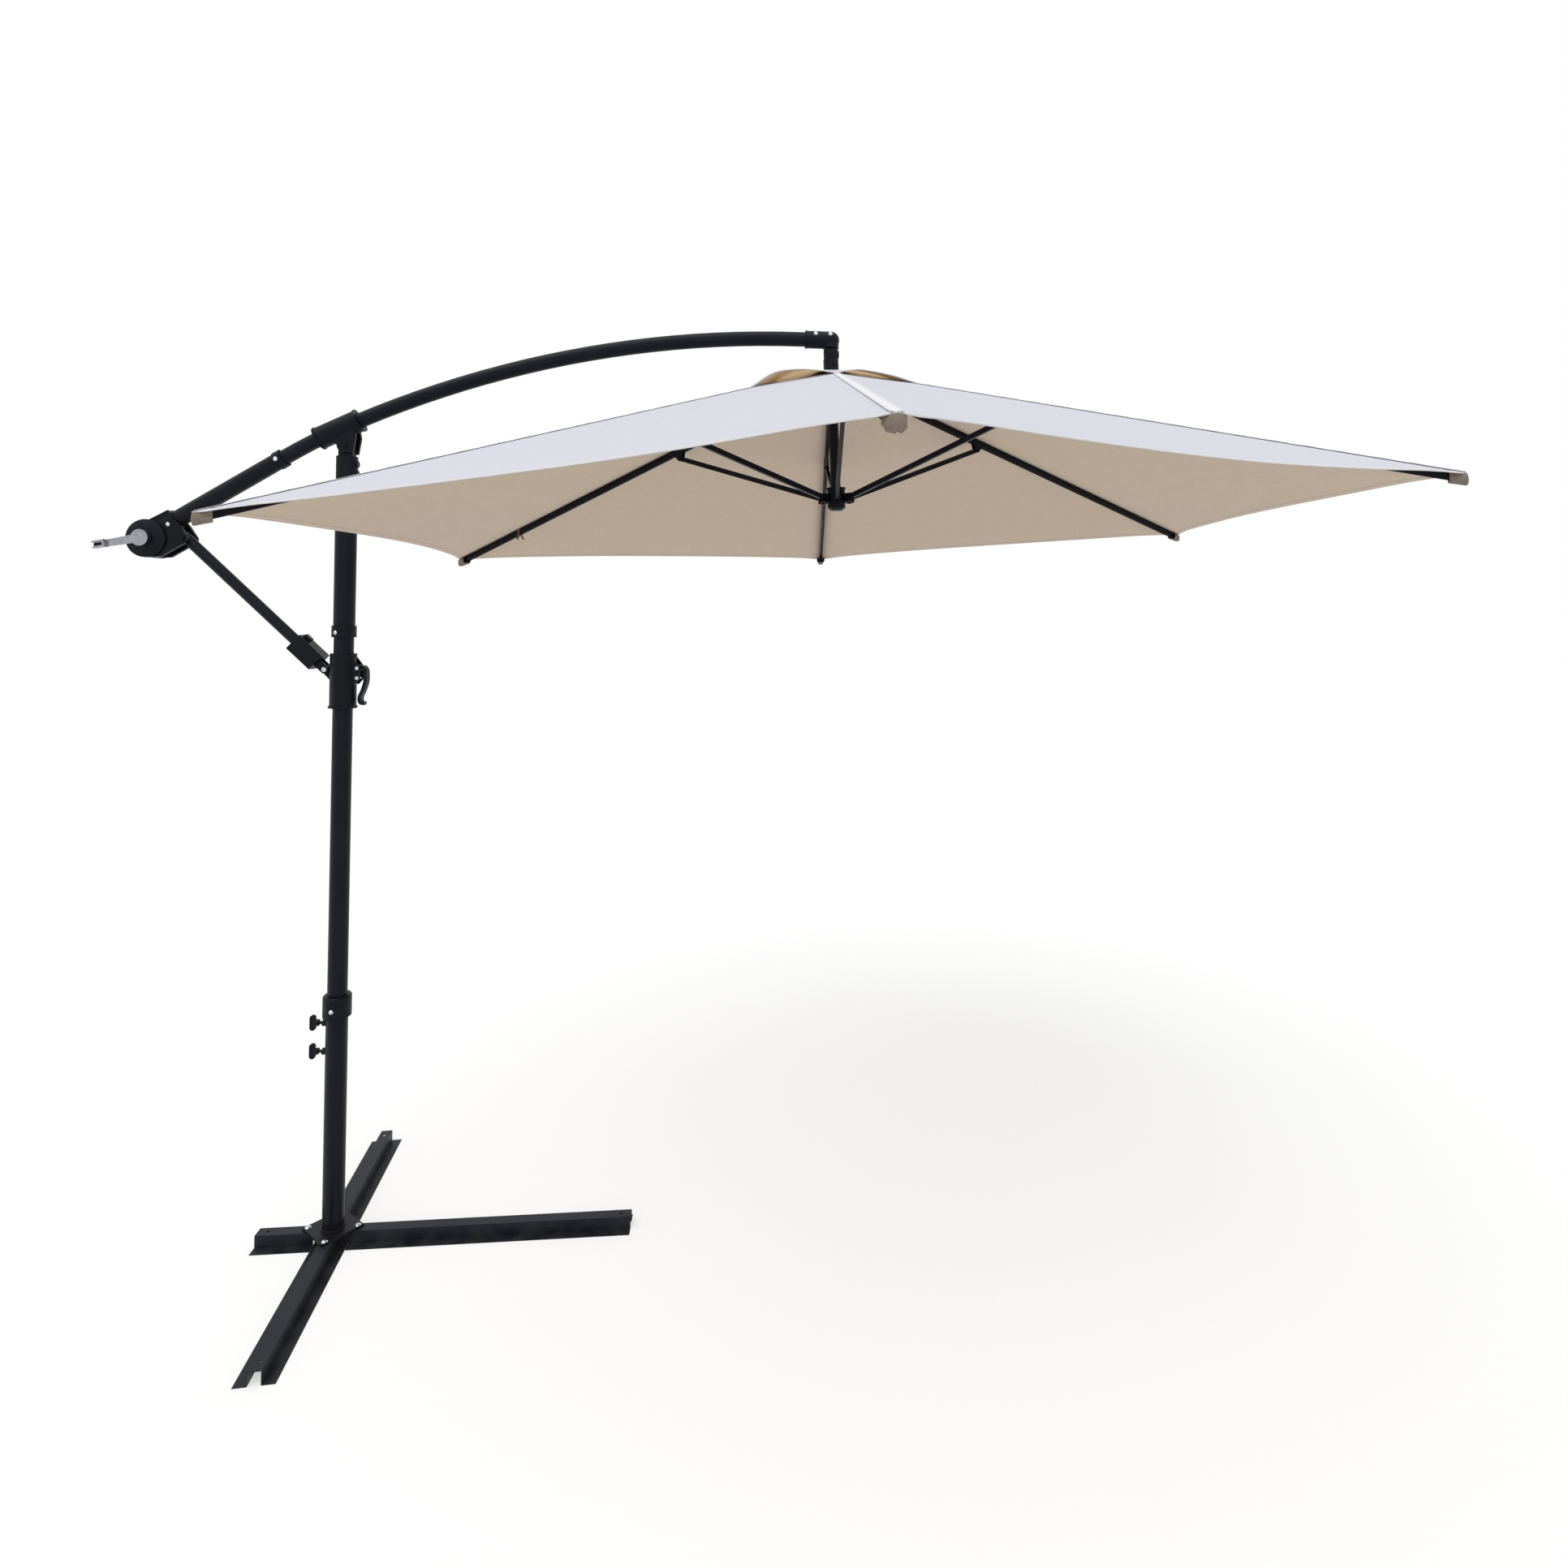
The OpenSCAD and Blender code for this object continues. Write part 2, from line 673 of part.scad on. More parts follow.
module brake_pad() {
    pad_w = cam_w - 2;
    color("dimgray") difference() {
        translate([mast_r - 6, -pad_w / 2, cam_c[1] - 11])
            cube([cam_pin_x - cam_r - run_gap - mast_r + 6, pad_w, 22]);
        translate([0, 0, cam_c[1] - 12]) cylinder(r = mast_r + run_gap, h = 24);
    }
}

module slider_pins() {
    cam_out = cam_w / 2 + run_gap + 5.1;
    fork_out = fork_half + fork_cheek_t + 0.1;
    color(silver) {
        for (p = [cam_c, tie_c]) along_y(p[0], p[1], cam_pin_r, -cam_out, cam_out);
        along_y(slider_c[0], slider_c[1], brace_pin_r, -fork_out, fork_out);
        for (s = [-1, 1]) scale([1, s, 1]) {
            for (p = [cam_c, tie_c]) along_y(p[0], p[1], 1.6 * cam_pin_r, cam_out, cam_out + 2);
            along_y(slider_c[0], slider_c[1], 1.6 * brace_pin_r, fork_out, fork_out + 2);
        }
    }
}

// Point between p1 and p2 on a smooth line through four points
function smooth(p0, p1, p2, p3, t) = 0.5 * (
    2 * p1 + (p2 - p0) * t + (2 * p0 - 5 * p1 + 4 * p2 - p3) * t * t
    + (3 * p1 - p0 - 3 * p2 + p3) * t * t * t);

// Smooth line through a list of points, with n steps between neighbours
function smooth_line(p, n) = [
    for (i = [0:len(p) - 2]) for (t = [0:1 / n:0.999])
        smooth(p[max(i - 1, 0)], p[i], p[i + 1], p[min(i + 2, len(p) - 1)], t),
    p[len(p) - 1]
];

// Points at distance d to the left of a line
function beside(p, d) = [
    for (i = [0:len(p) - 1])
        let (v = p[min(i + 1, len(p) - 1)] - p[max(i - 1, 0)])
        p[i] + d * [-v[1], v[0]] / norm(v)
];

function reversed(p) = [for (i = [len(p) - 1:-1:0]) p[i]];

// The lever leaves its cam outwards, bows down beside the slider and ends in a hook
module cam_lever() {
    line = smooth_line([
        [2, 2], [11, 2.5], [17.5, -6], [18.8, -20], [18, -0.4 * cam_len],
        [11, -0.65 * cam_len], [4, -0.82 * cam_len], [6, -0.97 * cam_len], [16, -cam_len]
    ], 5);
    color(black) difference() {
        union() {
            along_y(cam_c[0], cam_c[1], cam_r, -cam_w / 2, cam_w / 2);
            slab_y(1 - cam_w / 2, cam_w / 2 - 1) translate(cam_c)
                polygon(concat(beside(line, cam_t / 2), reversed(beside(line, -cam_t / 2))));
        }
        along_y(cam_c[0], cam_c[1], cam_pin_r + pin_gap, -cam_w, cam_w);
    }
}

// ---- brace ----

module brace_tube() {
    eye_r = brace_pin_r + brace_eye_play;
    tail = 13;
    start = socket_off + 20;
    color(black) difference() {
        translate([slider_c[0], 0, slider_c[1]]) rotate([0, brace_slope - 90, 0])
            translate([0, 0, start])
                ring(brace_od / 2 - brace_wall, brace_od / 2, brace_len + tail - start);
        along_y(brace_c[0], brace_c[1], eye_r, -brace_od, brace_od);
    }
}

module brace_socket() {
    pocket = socket_off + 19;
    color(black) difference() {
        translate([slider_c[0], 0, slider_c[1]]) rotate([0, brace_slope - 90, 0]) {
            translate([-socket_h / 2, -socket_w / 2, socket_off]) cube([socket_h, socket_w, socket_len]);
            translate([socket_h / 2 - 12, -8, socket_off + socket_len - 26]) cube([20, 16, 20]);
            for (s = [-1, 1]) scale([1, s, 1]) translate([0, fork_half, 0]) {
                translate([0, fork_cheek_t, 0]) rotate([90, 0, 0]) cylinder(r = lug_r, h = fork_cheek_t);
                translate([-lug_r, 0, 0]) cube([2 * lug_r, fork_cheek_t, socket_off + 1]);
            }
        }
        translate([slider_c[0], 0, slider_c[1]]) rotate([0, brace_slope - 90, 0]) {
            translate([0, 0, pocket]) cylinder(r = brace_od / 2 + tube_gap, h = socket_len);
            translate([-socket_h, -fork_half, -socket_h])
                cube([2 * socket_h, 2 * fork_half, socket_h + lug_r + 3]);
        }
        // room for the slider at both ends of the brace's swing
        for (a = [-7, 0, 3.4])
            translate([slider_c[0], 0, slider_c[1]]) rotate([0, a, 0])
                translate([-slider_c[0], 0, slider_z0 - slider_c[1]])
                    cylinder(r = slider_od / 2 + run_gap + 0.4, h = 3 * slider_below);
        along_y(slider_c[0], slider_c[1], brace_pin_r + pin_gap, -socket_w, socket_w);
    }
}

// ---- arm ----

module arm_lower_tube() {
    color(black) difference() {
        on_slope(arm_point(low_arm_back, 0), arm_slope)
            ring(arm_od / 2 + tube_gap, low_arm_od / 2, low_arm_back - ring_back);
        screw_hole(ring_screw);
        screw_hole(housing_screw);
    }
}

// The bent tube's straight and curved lengths, welded end to end
module arm_upper_tube() {
    r1 = arm_od / 2;
    r0 = r1 - arm_wall;
    rear_seam = seam / rear_bend_r * 180 / PI;
    front_seam = seam / front_bend_r * 180 / PI;
    color(black) {
        on_slope(arm_point(ring_back + arm_overlap, 0), arm_slope)
            ring(r0, r1, ring_back + arm_overlap - seam);
        bend(rear_bend_c, rear_bend_r, bracket_slope + rear_seam, arm_slope, r1, r0);
        bend(front_bend_c, front_bend_r, front_seam, bracket_slope, r1, r0);
        difference() {
            translate([bend_end[0], 0, arm_z]) rotate([0, 90, 0]) ring(r0, r1, arm_end - bend_end[0]);
            screw_hole([elbow_screw_xs[0], elbow_screw_z]);
        }
        on_slope(bend_start, arm_slope) weld(r0, r1);
        on_slope(bracket_c, bracket_slope) weld(r0, r1);
        on_slope(bend_end, 0) weld(r0, r1);
    }
}

// Root of a weld: a ring inside the tube's wall that joins two lengths
module weld(r0, r1) {
    translate([0, 0, -2]) ring(r0 + 0.5, r1 - 0.5, 4);
}

module arm_ring() {
    color(black) difference() {
        on_slope(arm_point(ring_back + ring_w / 2, 0), arm_slope)
            ring(low_arm_od / 2 + tube_gap, ring_od / 2, ring_w);
        screw_hole(ring_screw);
        screw_seat(ring_screw, ring_seat);
    }
}

module screw_hole(p) {
    along_y(p[0], p[1], arm_screw_r + pin_gap, -drum_r, 0);
}

// Flat seat for a screw's head at distance y from the arm's middle plane
module screw_seat(p, y) {
    along_y(p[0], p[1], seat_r, -drum_r, -y);
}

module arm_bracket() {
    s0 = -bracket_len / 2;
    color(black) difference() {
        union() {
            on_slope(bracket_c + s0 * tangent(bracket_slope), bracket_slope) {
                cylinder(d = bracket_od, h = bracket_len);
                cylinder(d = bracket_od + 4, h = 4);
                translate([0, 0, bracket_len - 4]) cylinder(d = bracket_od + 4, h = 4);
            }
            for (s = [-1, 1]) scale([1, s, 1]) slab_y(cheek_y0, cheek_y1) {
                translate([0, head_z]) circle(r = head_knuckle_r);
                polygon([
                    [-head_knuckle_r, head_z], bracket_c + [-26, -20],
                    bracket_c + [46, 16], [head_knuckle_r + 10, head_z + 24],
                    [head_knuckle_r + 3, head_z - 20], [head_knuckle_r - 6, head_z - 20]
                ]);
            }
        }
        on_slope(bracket_c + (s0 - 1) * tangent(bracket_slope), bracket_slope)
            cylinder(r = arm_od / 2 + 1.6, h = bracket_len + 2);
        slab_y(-cheek_y0, cheek_y0) translate([0, head_z]) circle(r = head_knuckle_r + run_gap);
        along_y(0, head_z, head_pin_r + pin_gap, -bracket_od, bracket_od);
    }
}

module arm_screws() {
    color(silver) {
        screw_y(ring_screw[0], ring_screw[1], ring_seat, arm_screw_r, ring_seat - arm_od / 2 - run_gap);
        screw_y(housing_screw[0], housing_screw[1], cheek_out, arm_screw_r, 9);
        for (x = elbow_screw_xs) screw_y(x, elbow_screw_z, elbow_seat, arm_screw_r, 7);
    }
}

// ---- crank ----

module crank_housing() {
    plate = [
        crank_c + drum_r * tangent(84), arm_point(brace_along - 8, 25),
        arm_point(brace_along - 14, -26), brace_c + 15 * tangent(22), brace_c + 15 * tangent(-70),
        crank_c + [38, -48], crank_c + drum_r * tangent(-80)
    ];
    color(black) difference() {
        union() {
            along_y(crank_c[0], crank_c[1], drum_r, -drum_front, drum_back);
            on_slope(arm_point(low_arm_back + 6, 0), arm_slope) cylinder(r = low_arm_od / 2 + 4, h = 45);
            for (s = [-1, 1]) scale([1, s, 1]) slab_y(cheek_in, cheek_out) {
                polygon(plate);
                translate(brace_c) circle(r = 15);
            }
        }
        along_y(crank_c[0], crank_c[1], drum_r - drum_wall, -drum_front - 1, drum_back - drum_wall);
        along_y(crank_c[0], crank_c[1], shaft_r + pin_gap, -drum_front, drum_back + 1);
        on_slope(arm_point(low_arm_back, 0), arm_slope) cylinder(r = low_arm_od / 2 + tube_gap, h = 60);
        on_slope(arm_point(low_arm_back + 40, reel_r + rope_r - crank_drop), arm_slope)
            cylinder(r = rope_r + 3, h = 60);
        along_y(brace_c[0], brace_c[1], brace_pin_r + pin_gap, -drum_r, drum_r);
        screw_hole(housing_screw);
        screw_seat(housing_screw, cheek_out);
    }
}

// Turned profile: a dome on a straight rim, with a lip that fits inside the housing
module housing_cover() {
    dome_h = cover_h - cover_rim;
    dome_r = (drum_r * drum_r + dome_h * dome_h) / (2 * dome_h);
    lip_r = drum_r - drum_wall - tube_gap;
    hole_r = shaft_r + pin_gap;
    color(black) translate([crank_c[0], -drum_front, crank_c[1]]) rotate([90, 0, 0]) rotate_extrude() {
        intersection() {
            translate([0, cover_h - dome_r]) circle(r = dome_r, $fn = 360);
            translate([hole_r, 0]) square([drum_r - hole_r, cover_h + 1]);
        }
        translate([lip_r - 3, -2]) square([3, 2 + eps]);
    }
}

module brace_pin() {
    color(silver) {
        along_y(brace_c[0], brace_c[1], brace_pin_r, -cheek_out - 0.2, cheek_out + 0.2);
        for (s = [-1, 1]) scale([1, s, 1])
            along_y(brace_c[0], brace_c[1], 1.6 * brace_pin_r, cheek_out + 0.1, cheek_out + 3);
    }
}

module crank_frame() {
    translate([crank_c[0], 0, crank_c[1]]) rotate([0, -crank_droop, 0]) children();
}

module crank_lever() {
    bar_y1 = bar_y0 + crank_bar_t;
    color(silver) difference() {
        crank_frame() {
            along_y(0, 0, crank_boss_r, -boss_y1, -boss_y0);
            slab_y(-bar_y1, -bar_y0) {
                polygon([
                    [0, crank_bar_w / 2 + 2], [2 - fork_bridge, crank_bar_w / 2 - 1],
                    [2 - fork_bridge, 1 - crank_bar_w / 2], [0, -2 - crank_bar_w / 2]
                ]);
            }
            for (s = [0, 1])
                translate([-fork_tip, -bar_y0 - fork_h, s * (crank_bar_w - fork_t) - crank_bar_w / 2])
                    cube([fork_tip - fork_bridge + fork_t, fork_h, fork_t]);
            translate([-fork_bridge, -bar_y0 - fork_h, -crank_bar_w / 2])
                cube([fork_t, fork_h, crank_bar_w]);
        }
        along_y(crank_c[0], crank_c[1], shaft_r + pin_gap, -boss_y1 + 3, 0);
    }
}

module crank_grip() {
    grip_r = crank_bar_w / 2 - fork_t - run_gap;
    color([0.08, 0.08, 0.08]) crank_frame() translate([2 - fork_tip, -bar_y0 - fork_h / 2, 0])
        rotate([0, 90, 0]) cylinder(r = grip_r, h = fork_tip - 2 - fork_bridge);
}

module reel() {
    color("dimgray") {
        along_y(crank_c[0], crank_c[1], reel_r, -reel_front, reel_back);
        along_y(crank_c[0], crank_c[1], reel_flange_r, -reel_front, 3 - reel_front);
        along_y(crank_c[0], crank_c[1], reel_flange_r, reel_back - 3, reel_back);
        along_y(crank_c[0], crank_c[1], shaft_r, -boss_y1 + 3, drum_back);
    }
}

// ---- elbow, pulley and rope ----

module elbow() {
    color(black) difference() {
        union() {
            along_x(reach - elbow_len, reach, 0, arm_z, elbow_od / 2);
            along_x(reach - elbow_len, reach - elbow_len + 4, 0, arm_z, elbow_od / 2 + 1.5);
            translate([reach, 0, arm_z]) sphere(d = elbow_od);
            translate([reach, 0, leg_z]) cylinder(d = elbow_od - 3, h = arm_z - leg_z);
            slab_y(-tongue_half, tongue_half) translate([reach, swing_z]) {
                circle(r = tongue_r);
                translate([-tongue_r, 0]) square([2 * tongue_r, leg_z - swing_z + 8]);
            }
        }
        along_x(reach - elbow_len - 1, arm_end + 0.5, 0, arm_z, arm_od / 2 + tube_gap);
        slab_y(-pulley_half - run_gap, pulley_half + run_gap) {
            translate(pulley_c) circle(r = pulley_or + run_gap + 0.6);
            translate([arm_end - 1, arm_z + rope_up - 5]) square([pulley_c[0] - arm_end + 12, 10]);
        }
        translate([reach + rope_off, 0, swing_z - 2 * tongue_r])
            cylinder(r = rope_r + 1.9, h = swing_drop + 26);
        along_y(pulley_c[0], pulley_c[1], 2.5, -elbow_od, elbow_od);
        along_y(reach, swing_z, swing_pin_r + pin_gap, -elbow_od, elbow_od);
        for (x = elbow_screw_xs) {
            along_y(x, elbow_screw_z, arm_screw_r + pin_gap, -elbow_od, -8);
            screw_seat([x, elbow_screw_z], elbow_seat);
        }
    }
}

module pulley() {
    axle_half = elbow_od / 2 - 4;
    color("dimgray") translate([pulley_c[0], 0, pulley_c[1]]) rotate([90, 0, 0]) {
        difference() {
            translate([0, 0, -pulley_half]) cylinder(r = pulley_or, h = 2 * pulley_half);
            rotate_extrude() translate([pulley_rope_r, 0]) circle(r = rope_r + 0.3);
            difference() {
                translate([0, 0, -rope_r]) cylinder(r = pulley_or + 1, h = 2 * rope_r);
                translate([0, 0, -rope_r - 1]) cylinder(r = pulley_rope_r, h = 2 * rope_r + 2);
            }
        }
        translate([0, 0, -axle_half]) cylinder(r = 2.35, h = 2 * axle_half);
    }
}

module swing_pin() {
    half = pole_socket_od / 2 + 0.2;
    color(silver) {
        along_y(reach, swing_z, swing_pin_r, -half, half);
        for (s = [-1, 1]) scale([1, s, 1])
            along_y(reach, swing_z, 1.5 * swing_pin_r, half - 0.1, half + 2.5);
    }
}

// The rope runs off the reel's upper side and keeps its distance to the arm's centre line.
// Its lengths stop a hairline short of each other.
module rope_in_arm() {
    start = arm_point(crank_along, rope_up);
    rear_seam = seam / rear_bend_r * 180 / PI;
    pulley_seam = seam / pulley_rope_r * 180 / PI;
    color("silver") {
        on_slope(start, arm_slope) cylinder(r = rope_r, h = crank_along - seam);
        bend(rear_bend_c, rear_bend_r + rope_up, bracket_slope + rear_seam, arm_slope, rope_r, 0);
        bend(front_bend_c, front_bend_r + rope_up, 0, bracket_slope, rope_r, 0);
        along_x(bend_end[0] + seam, pulley_c[0] - seam, 0, arm_z + rope_up, rope_r);
        bend(pulley_c, pulley_rope_r, pulley_seam - 90, 0, rope_r, 0);
        translate([pulley_c[0] + pulley_rope_r, 0, pulley_c[1] - rope_tail])
            cylinder(r = rope_r, h = rope_tail);
    }
}

// ---- canopy ----

// Frame of the canopy's pole: the swing pin is the origin, -Z runs down the pole
module canopy_frame() {
    translate([reach, 0, swing_z]) rotate([0, -canopy_tilt, 0]) children();
}

// The rib or strut number k lies in the half plane of this azimuth
function rib_azimuth(k) = 60 * k - 150;

module pole_socket() {
    color(black) canopy_frame() difference() {
        union() {
            translate([0, 0, -pole_socket_below])
                cylinder(d = pole_socket_od, h = pole_socket_below + socket_top);
            translate([4, 0, -12]) cylinder(d = pole_socket_od, h = 17);
        }
        translate([-pole_socket_od, -tongue_half - run_gap, -tongue_r - 1.5])
            cube([2 * pole_socket_od, 2 * (tongue_half + run_gap), 4 * tongue_r]);
        translate([0, 0, -pole_socket_below - 1])
            cylinder(r = pole_od / 2 + tube_gap, h = pole_socket_below + pole_top + 1.5);
        translate([rope_off, 0, -pole_socket_below]) cylinder(r = rope_r + 1, h = pole_socket_below);
        rotate([90, 0, 0]) translate([0, 0, -pole_socket_od])
            cylinder(r = swing_pin_r + pin_gap, h = 2 * pole_socket_od);
        along_y(socket_screw_x, socket_screw_z, arm_screw_r + pin_gap, -pole_socket_od,
            socket_screw_y + socket_screw_len + 1);
        along_y(socket_screw_x, socket_screw_z, 2 * arm_screw_r + run_gap, -pole_socket_od, socket_screw_y);
    }
}

module socket_screw() {
    color(silver) canopy_frame()
        screw_y(socket_screw_x, socket_screw_z, -socket_screw_y, arm_screw_r, socket_screw_len);
}

module pole() {
    color(black) canopy_frame() translate([0, 0, pole_bottom])
        ring(pole_od / 2 - pole_wall, pole_od / 2, pole_top - pole_bottom);
}

module top_hub() {
    slot_half = rib_w / 2 + run_gap;
    color(black) canopy_frame() difference() {
        translate([0, 0, hub_z - hub_half]) cylinder(r = hub_r, h = 2 * hub_half);
        translate([0, 0, hub_z - 2 * hub_half]) cylinder(r = pole_od / 2 + tube_gap, h = 4 * hub_half);
        for (k = [1:6]) rotate(rib_azimuth(k)) {
            translate([hub_pin_ring_r - 12, -slot_half, hub_z - 2 * hub_half])
                cube([hub_r, 2 * slot_half, 4 * hub_half]);
            translate([hub_pin_ring_r, 16, hub_z]) rotate([90, 0, 0])
                cylinder(r = rib_pin_r + 0.05, h = 32);
        }
    }
}

module hub_pins() {
    color(silver) canopy_frame() for (k = [1:6]) rotate(rib_azimuth(k))
        translate([hub_pin_ring_r, 13, hub_z]) rotate([90, 0, 0]) cylinder(r = rib_pin_r, h = 26);
}

// Child is drawn with the hub pin as its origin and +X out along the rib
module rib_frame(k) {
    canopy_frame() rotate(rib_azimuth(k)) translate([hub_pin_ring_r, 0, hub_z]) rotate([0, rib_slope, 0])
        children();
}

module rib(k) {
    root = rib_h / 2 - 0.6;
    start = 16;
    tip_r = 7;
    color(black) rib_frame(k) difference() {
        union() {
            // folded sheet channel, open below
            translate([start, 0, 0]) rotate([90, 0, 90]) linear_extrude(rib_len - start - 10) difference() {
                translate([-rib_w / 2, -rib_h / 2]) square([rib_w, rib_h]);
                translate([-rib_w / 2 + rib_t, -rib_h / 2 - 1])
                    square([rib_w - 2 * rib_t, rib_h + 1 - rib_t]);
            }
            // root block that turns on the hub's pin
            slab_y(-rib_w / 2 + 0.4, rib_w / 2 - 0.4) {
                circle(r = root);
                translate([0, -root]) square([start + 24, 2 * root]);
            }
            // tip plug
            translate([rib_len - 26, 0, 0]) rotate([0, 90, 0]) cylinder(r = rib_w / 2 - rib_t, h = 18);
            translate([rib_len - 10, 0, 0]) rotate([0, 90, 0]) cylinder(r = tip_r, h = 6);
            translate([rib_len - 4, 0, 0]) rotate([0, 90, 0]) cylinder(r1 = tip_r, r2 = tip_r - 3, h = 5);
            // clevis of the strut
            for (s = [-1, 1]) scale([1, s, 1]) slab_y(clevis_half - 0.3, clevis_half + 2) {
                translate([strut_at, -strut_drop]) circle(r = 8);
                polygon([
                    [strut_at - 8, -strut_drop], [strut_at - 22, -rib_h / 2 + 8],
                    [strut_at + 22, -rib_h / 2 + 8], [strut_at + 8, -strut_drop]
                ]);
            }
            along_y(strut_at, -strut_drop, rib_pin_r, -clevis_half - 4, clevis_half + 4);
        }
        along_y(0, 0, rib_pin_r + pin_gap, -rib_w, rib_w);
    }
}

// Strut with the runner's pin at its lower end
module strut(k) {
    color(black) rib_frame(k) translate([strut_at, 0, -strut_drop]) rotate([0, -rib_slope, 0])
        rotate([0, 180 - link_slope, 0]) difference() {
            union() {
                slab_y(-strut_w / 2, strut_w / 2) {
                    circle(r = strut_h / 2);
                    translate([link_len, 0]) circle(r = strut_h / 2 - 0.5);
                    translate([0, 0.5 - strut_h / 2]) square([link_len, strut_h - 1]);
                }
                along_y(link_len, 0, rib_pin_r, -strut_w / 2 - 5, strut_w / 2 + 5);
            }
            along_y(0, 0, strut_hole_r, -strut_w, strut_w);
            slab_y(-strut_w / 2 + rib_t, strut_w / 2 - rib_t)
                translate([22, 2 - strut_h]) square([link_len - 44, strut_h + strut_h / 2 - 3.5]);
        }
}

module runner() {
    slot_half = strut_w / 2 + run_gap + 0.2;
    ear_t = 3.4;
    ear_out = hub_pin_ring_r + 15;
    notch_half = rib_pin_r + run_gap;
    cone_h = 7;
    color(black) canopy_frame() difference() {
        union() {
            translate([0, 0, runner_bottom + cone_h])
                cylinder(r = runner_r, h = runner_top - runner_bottom - cone_h);
            translate([0, 0, runner_bottom]) cylinder(r1 = runner_r - 9, r2 = runner_r, h = cone_h);
            translate([0, 0, runner_top - 4]) cylinder(r = runner_r + 3, h = 4);
            for (k = [1:6]) rotate(rib_azimuth(k)) for (s = [-1, 1]) scale([1, s, 1])
                translate([runner_r - 4, slot_half, runner_z - 12])
                    cube([ear_out - runner_r + 4, ear_t, 24]);
        }
        translate([0, 0, pole_bottom - 12])
            cylinder(r = pole_od / 2 + run_gap, h = runner_top - pole_bottom + 13);
        for (k = [1:6]) rotate(rib_azimuth(k)) slab_y(-16, 16) translate([hub_pin_ring_r, runner_z]) {
            circle(r = notch_half);
            translate([-notch_half, -20]) square([2 * notch_half, 20]);
        }
        translate([rope_off, 0, runner_bottom - 1]) cylinder(r = rope_r + 0.5, h = 40);
    }
}

module rope_drop() {
    knot_r = 4.5;
    top = pulley_c[1] - swing_z - rope_tail - 1;
    knot_z = runner_bottom - 3;
    color("silver") canopy_frame() translate([rope_off, 0, 0]) {
        translate([0, 0, knot_z]) cylinder(r = rope_r, h = top - knot_z, $fn = 16);
        translate([0, 0, knot_z]) sphere(r = knot_r - 1, $fn = 16);
    }
}

// ---- fabric ----

// Point of a six-panel sheet: f from 0 at the inner edge to 1 at the hem,
// u from 0 to 1 across the panel, z0 and z1 plumb heights on the ribs
function across(u) = 4 * u * (1 - u);
function sheet_point(k, u, f, in_r, out_r, cut, bow, z_in, z_out) =
    let (
        r = in_r + f * (out_r - in_r),
        a0 = rib_azimuth(k),
        p = [r * cos(a0), r * sin(a0)] * (1 - u) + [r * cos(a0 + 60), r * sin(a0 + 60)] * u,
        n = [cos(a0 + 30), sin(a0 + 30)],
        q = p - n * cut * across(u) * f * f,
        z = z_in + f * (z_out - z_in) + bow * across(u) * f
    ) [q[0], q[1], z];

// Thin closed sheet over six panels, with an opening in the middle
module six_panels(in_r, out_r, cut, bow, z_in, z_out, cols, rows) {
    n = 6 * cols;
    m = rows + 1;
    points = [
        for (side = [-1, 1]) for (j = [0:rows]) for (i = [0:n - 1])
            let (k = 1 + floor(i / cols), u = (i % cols) / cols)
            sheet_point(k, u, j / rows, in_r, out_r, cut, bow, z_in, z_out) + [0, 0, side * fabric_t / 2]
    ];
    function id(side, j, i) = side * n * m + j * n + i % n;
    faces = [
        for (i = [0:n - 1]) each concat(
            [for (j = [0:rows - 1]) each [
                [id(0, j, i), id(0, j + 1, i), id(0, j, i + 1)],
                [id(0, j, i + 1), id(0, j + 1, i), id(0, j + 1, i + 1)],
                [id(1, j, i), id(1, j, i + 1), id(1, j + 1, i)],
                [id(1, j, i + 1), id(1, j + 1, i + 1), id(1, j + 1, i)]
            ]],
            [
                [id(0, 0, i), id(0, 0, i + 1), id(1, 0, i)],
                [id(1, 0, i), id(0, 0, i + 1), id(1, 0, i + 1)],
                [id(0, rows, i), id(1, rows, i), id(0, rows, i + 1)],
                [id(1, rows, i), id(1, rows, i + 1), id(0, rows, i + 1)]
            ]
        )
    ];
    polyhedron(points = points, faces = faces);
}

module canopy_cover() {
    color(white) canopy_frame()
        six_panels(vent_r, canopy_r - 1, hem_cut, -hem_sag, fabric_z(vent_r), fabric_z(canopy_r), 8, 4);
}

module vent_cap() {
    corner_z = fabric_z(cap_r) + fabric_t + fabric_gap;
    color(white) canopy_frame()
        six_panels(cap_in_r, cap_r, 0, cap_arch, cap_top_z, corner_z, 6, 3);
}

long_beam();
cross_beam();
stand_post();
base_bolts();
base_nuts();
stand_collar();
collar_screw();
thumb_screw(thumb_hi_z);  // thumb_screw_upper
thumb_screw(thumb_lo_z);  // thumb_screw_lower
mast_foot();
mast_lower_tube();
mast_upper_tube();
stop_collar();
stop_screw();
mast_head();
head_pin();
slider_sleeve();
slider_liner();
brake_pad();
slider_pins();
cam_lever();
brace_tube();
brace_socket();
arm_lower_tube();
arm_upper_tube();
arm_ring();
arm_bracket();
arm_screws();
crank_housing();
housing_cover();
brace_pin();
crank_lever();
crank_grip();
reel();
elbow();
swing_pin();
pulley();
rope_in_arm();
pole_socket();
socket_screw();
pole();
top_hub();
hub_pins();
vent_cap();
rope_drop();
canopy_cover();
runner();
rib(1);  // rib_1
rib(2);  // rib_2
rib(3);  // rib_3
rib(4);  // rib_4
rib(5);  // rib_5
rib(6);  // rib_6
strut(1);  // strut_1
strut(2);  // strut_2
strut(3);  // strut_3
strut(4);  // strut_4
strut(5);  // strut_5
strut(6);  // strut_6
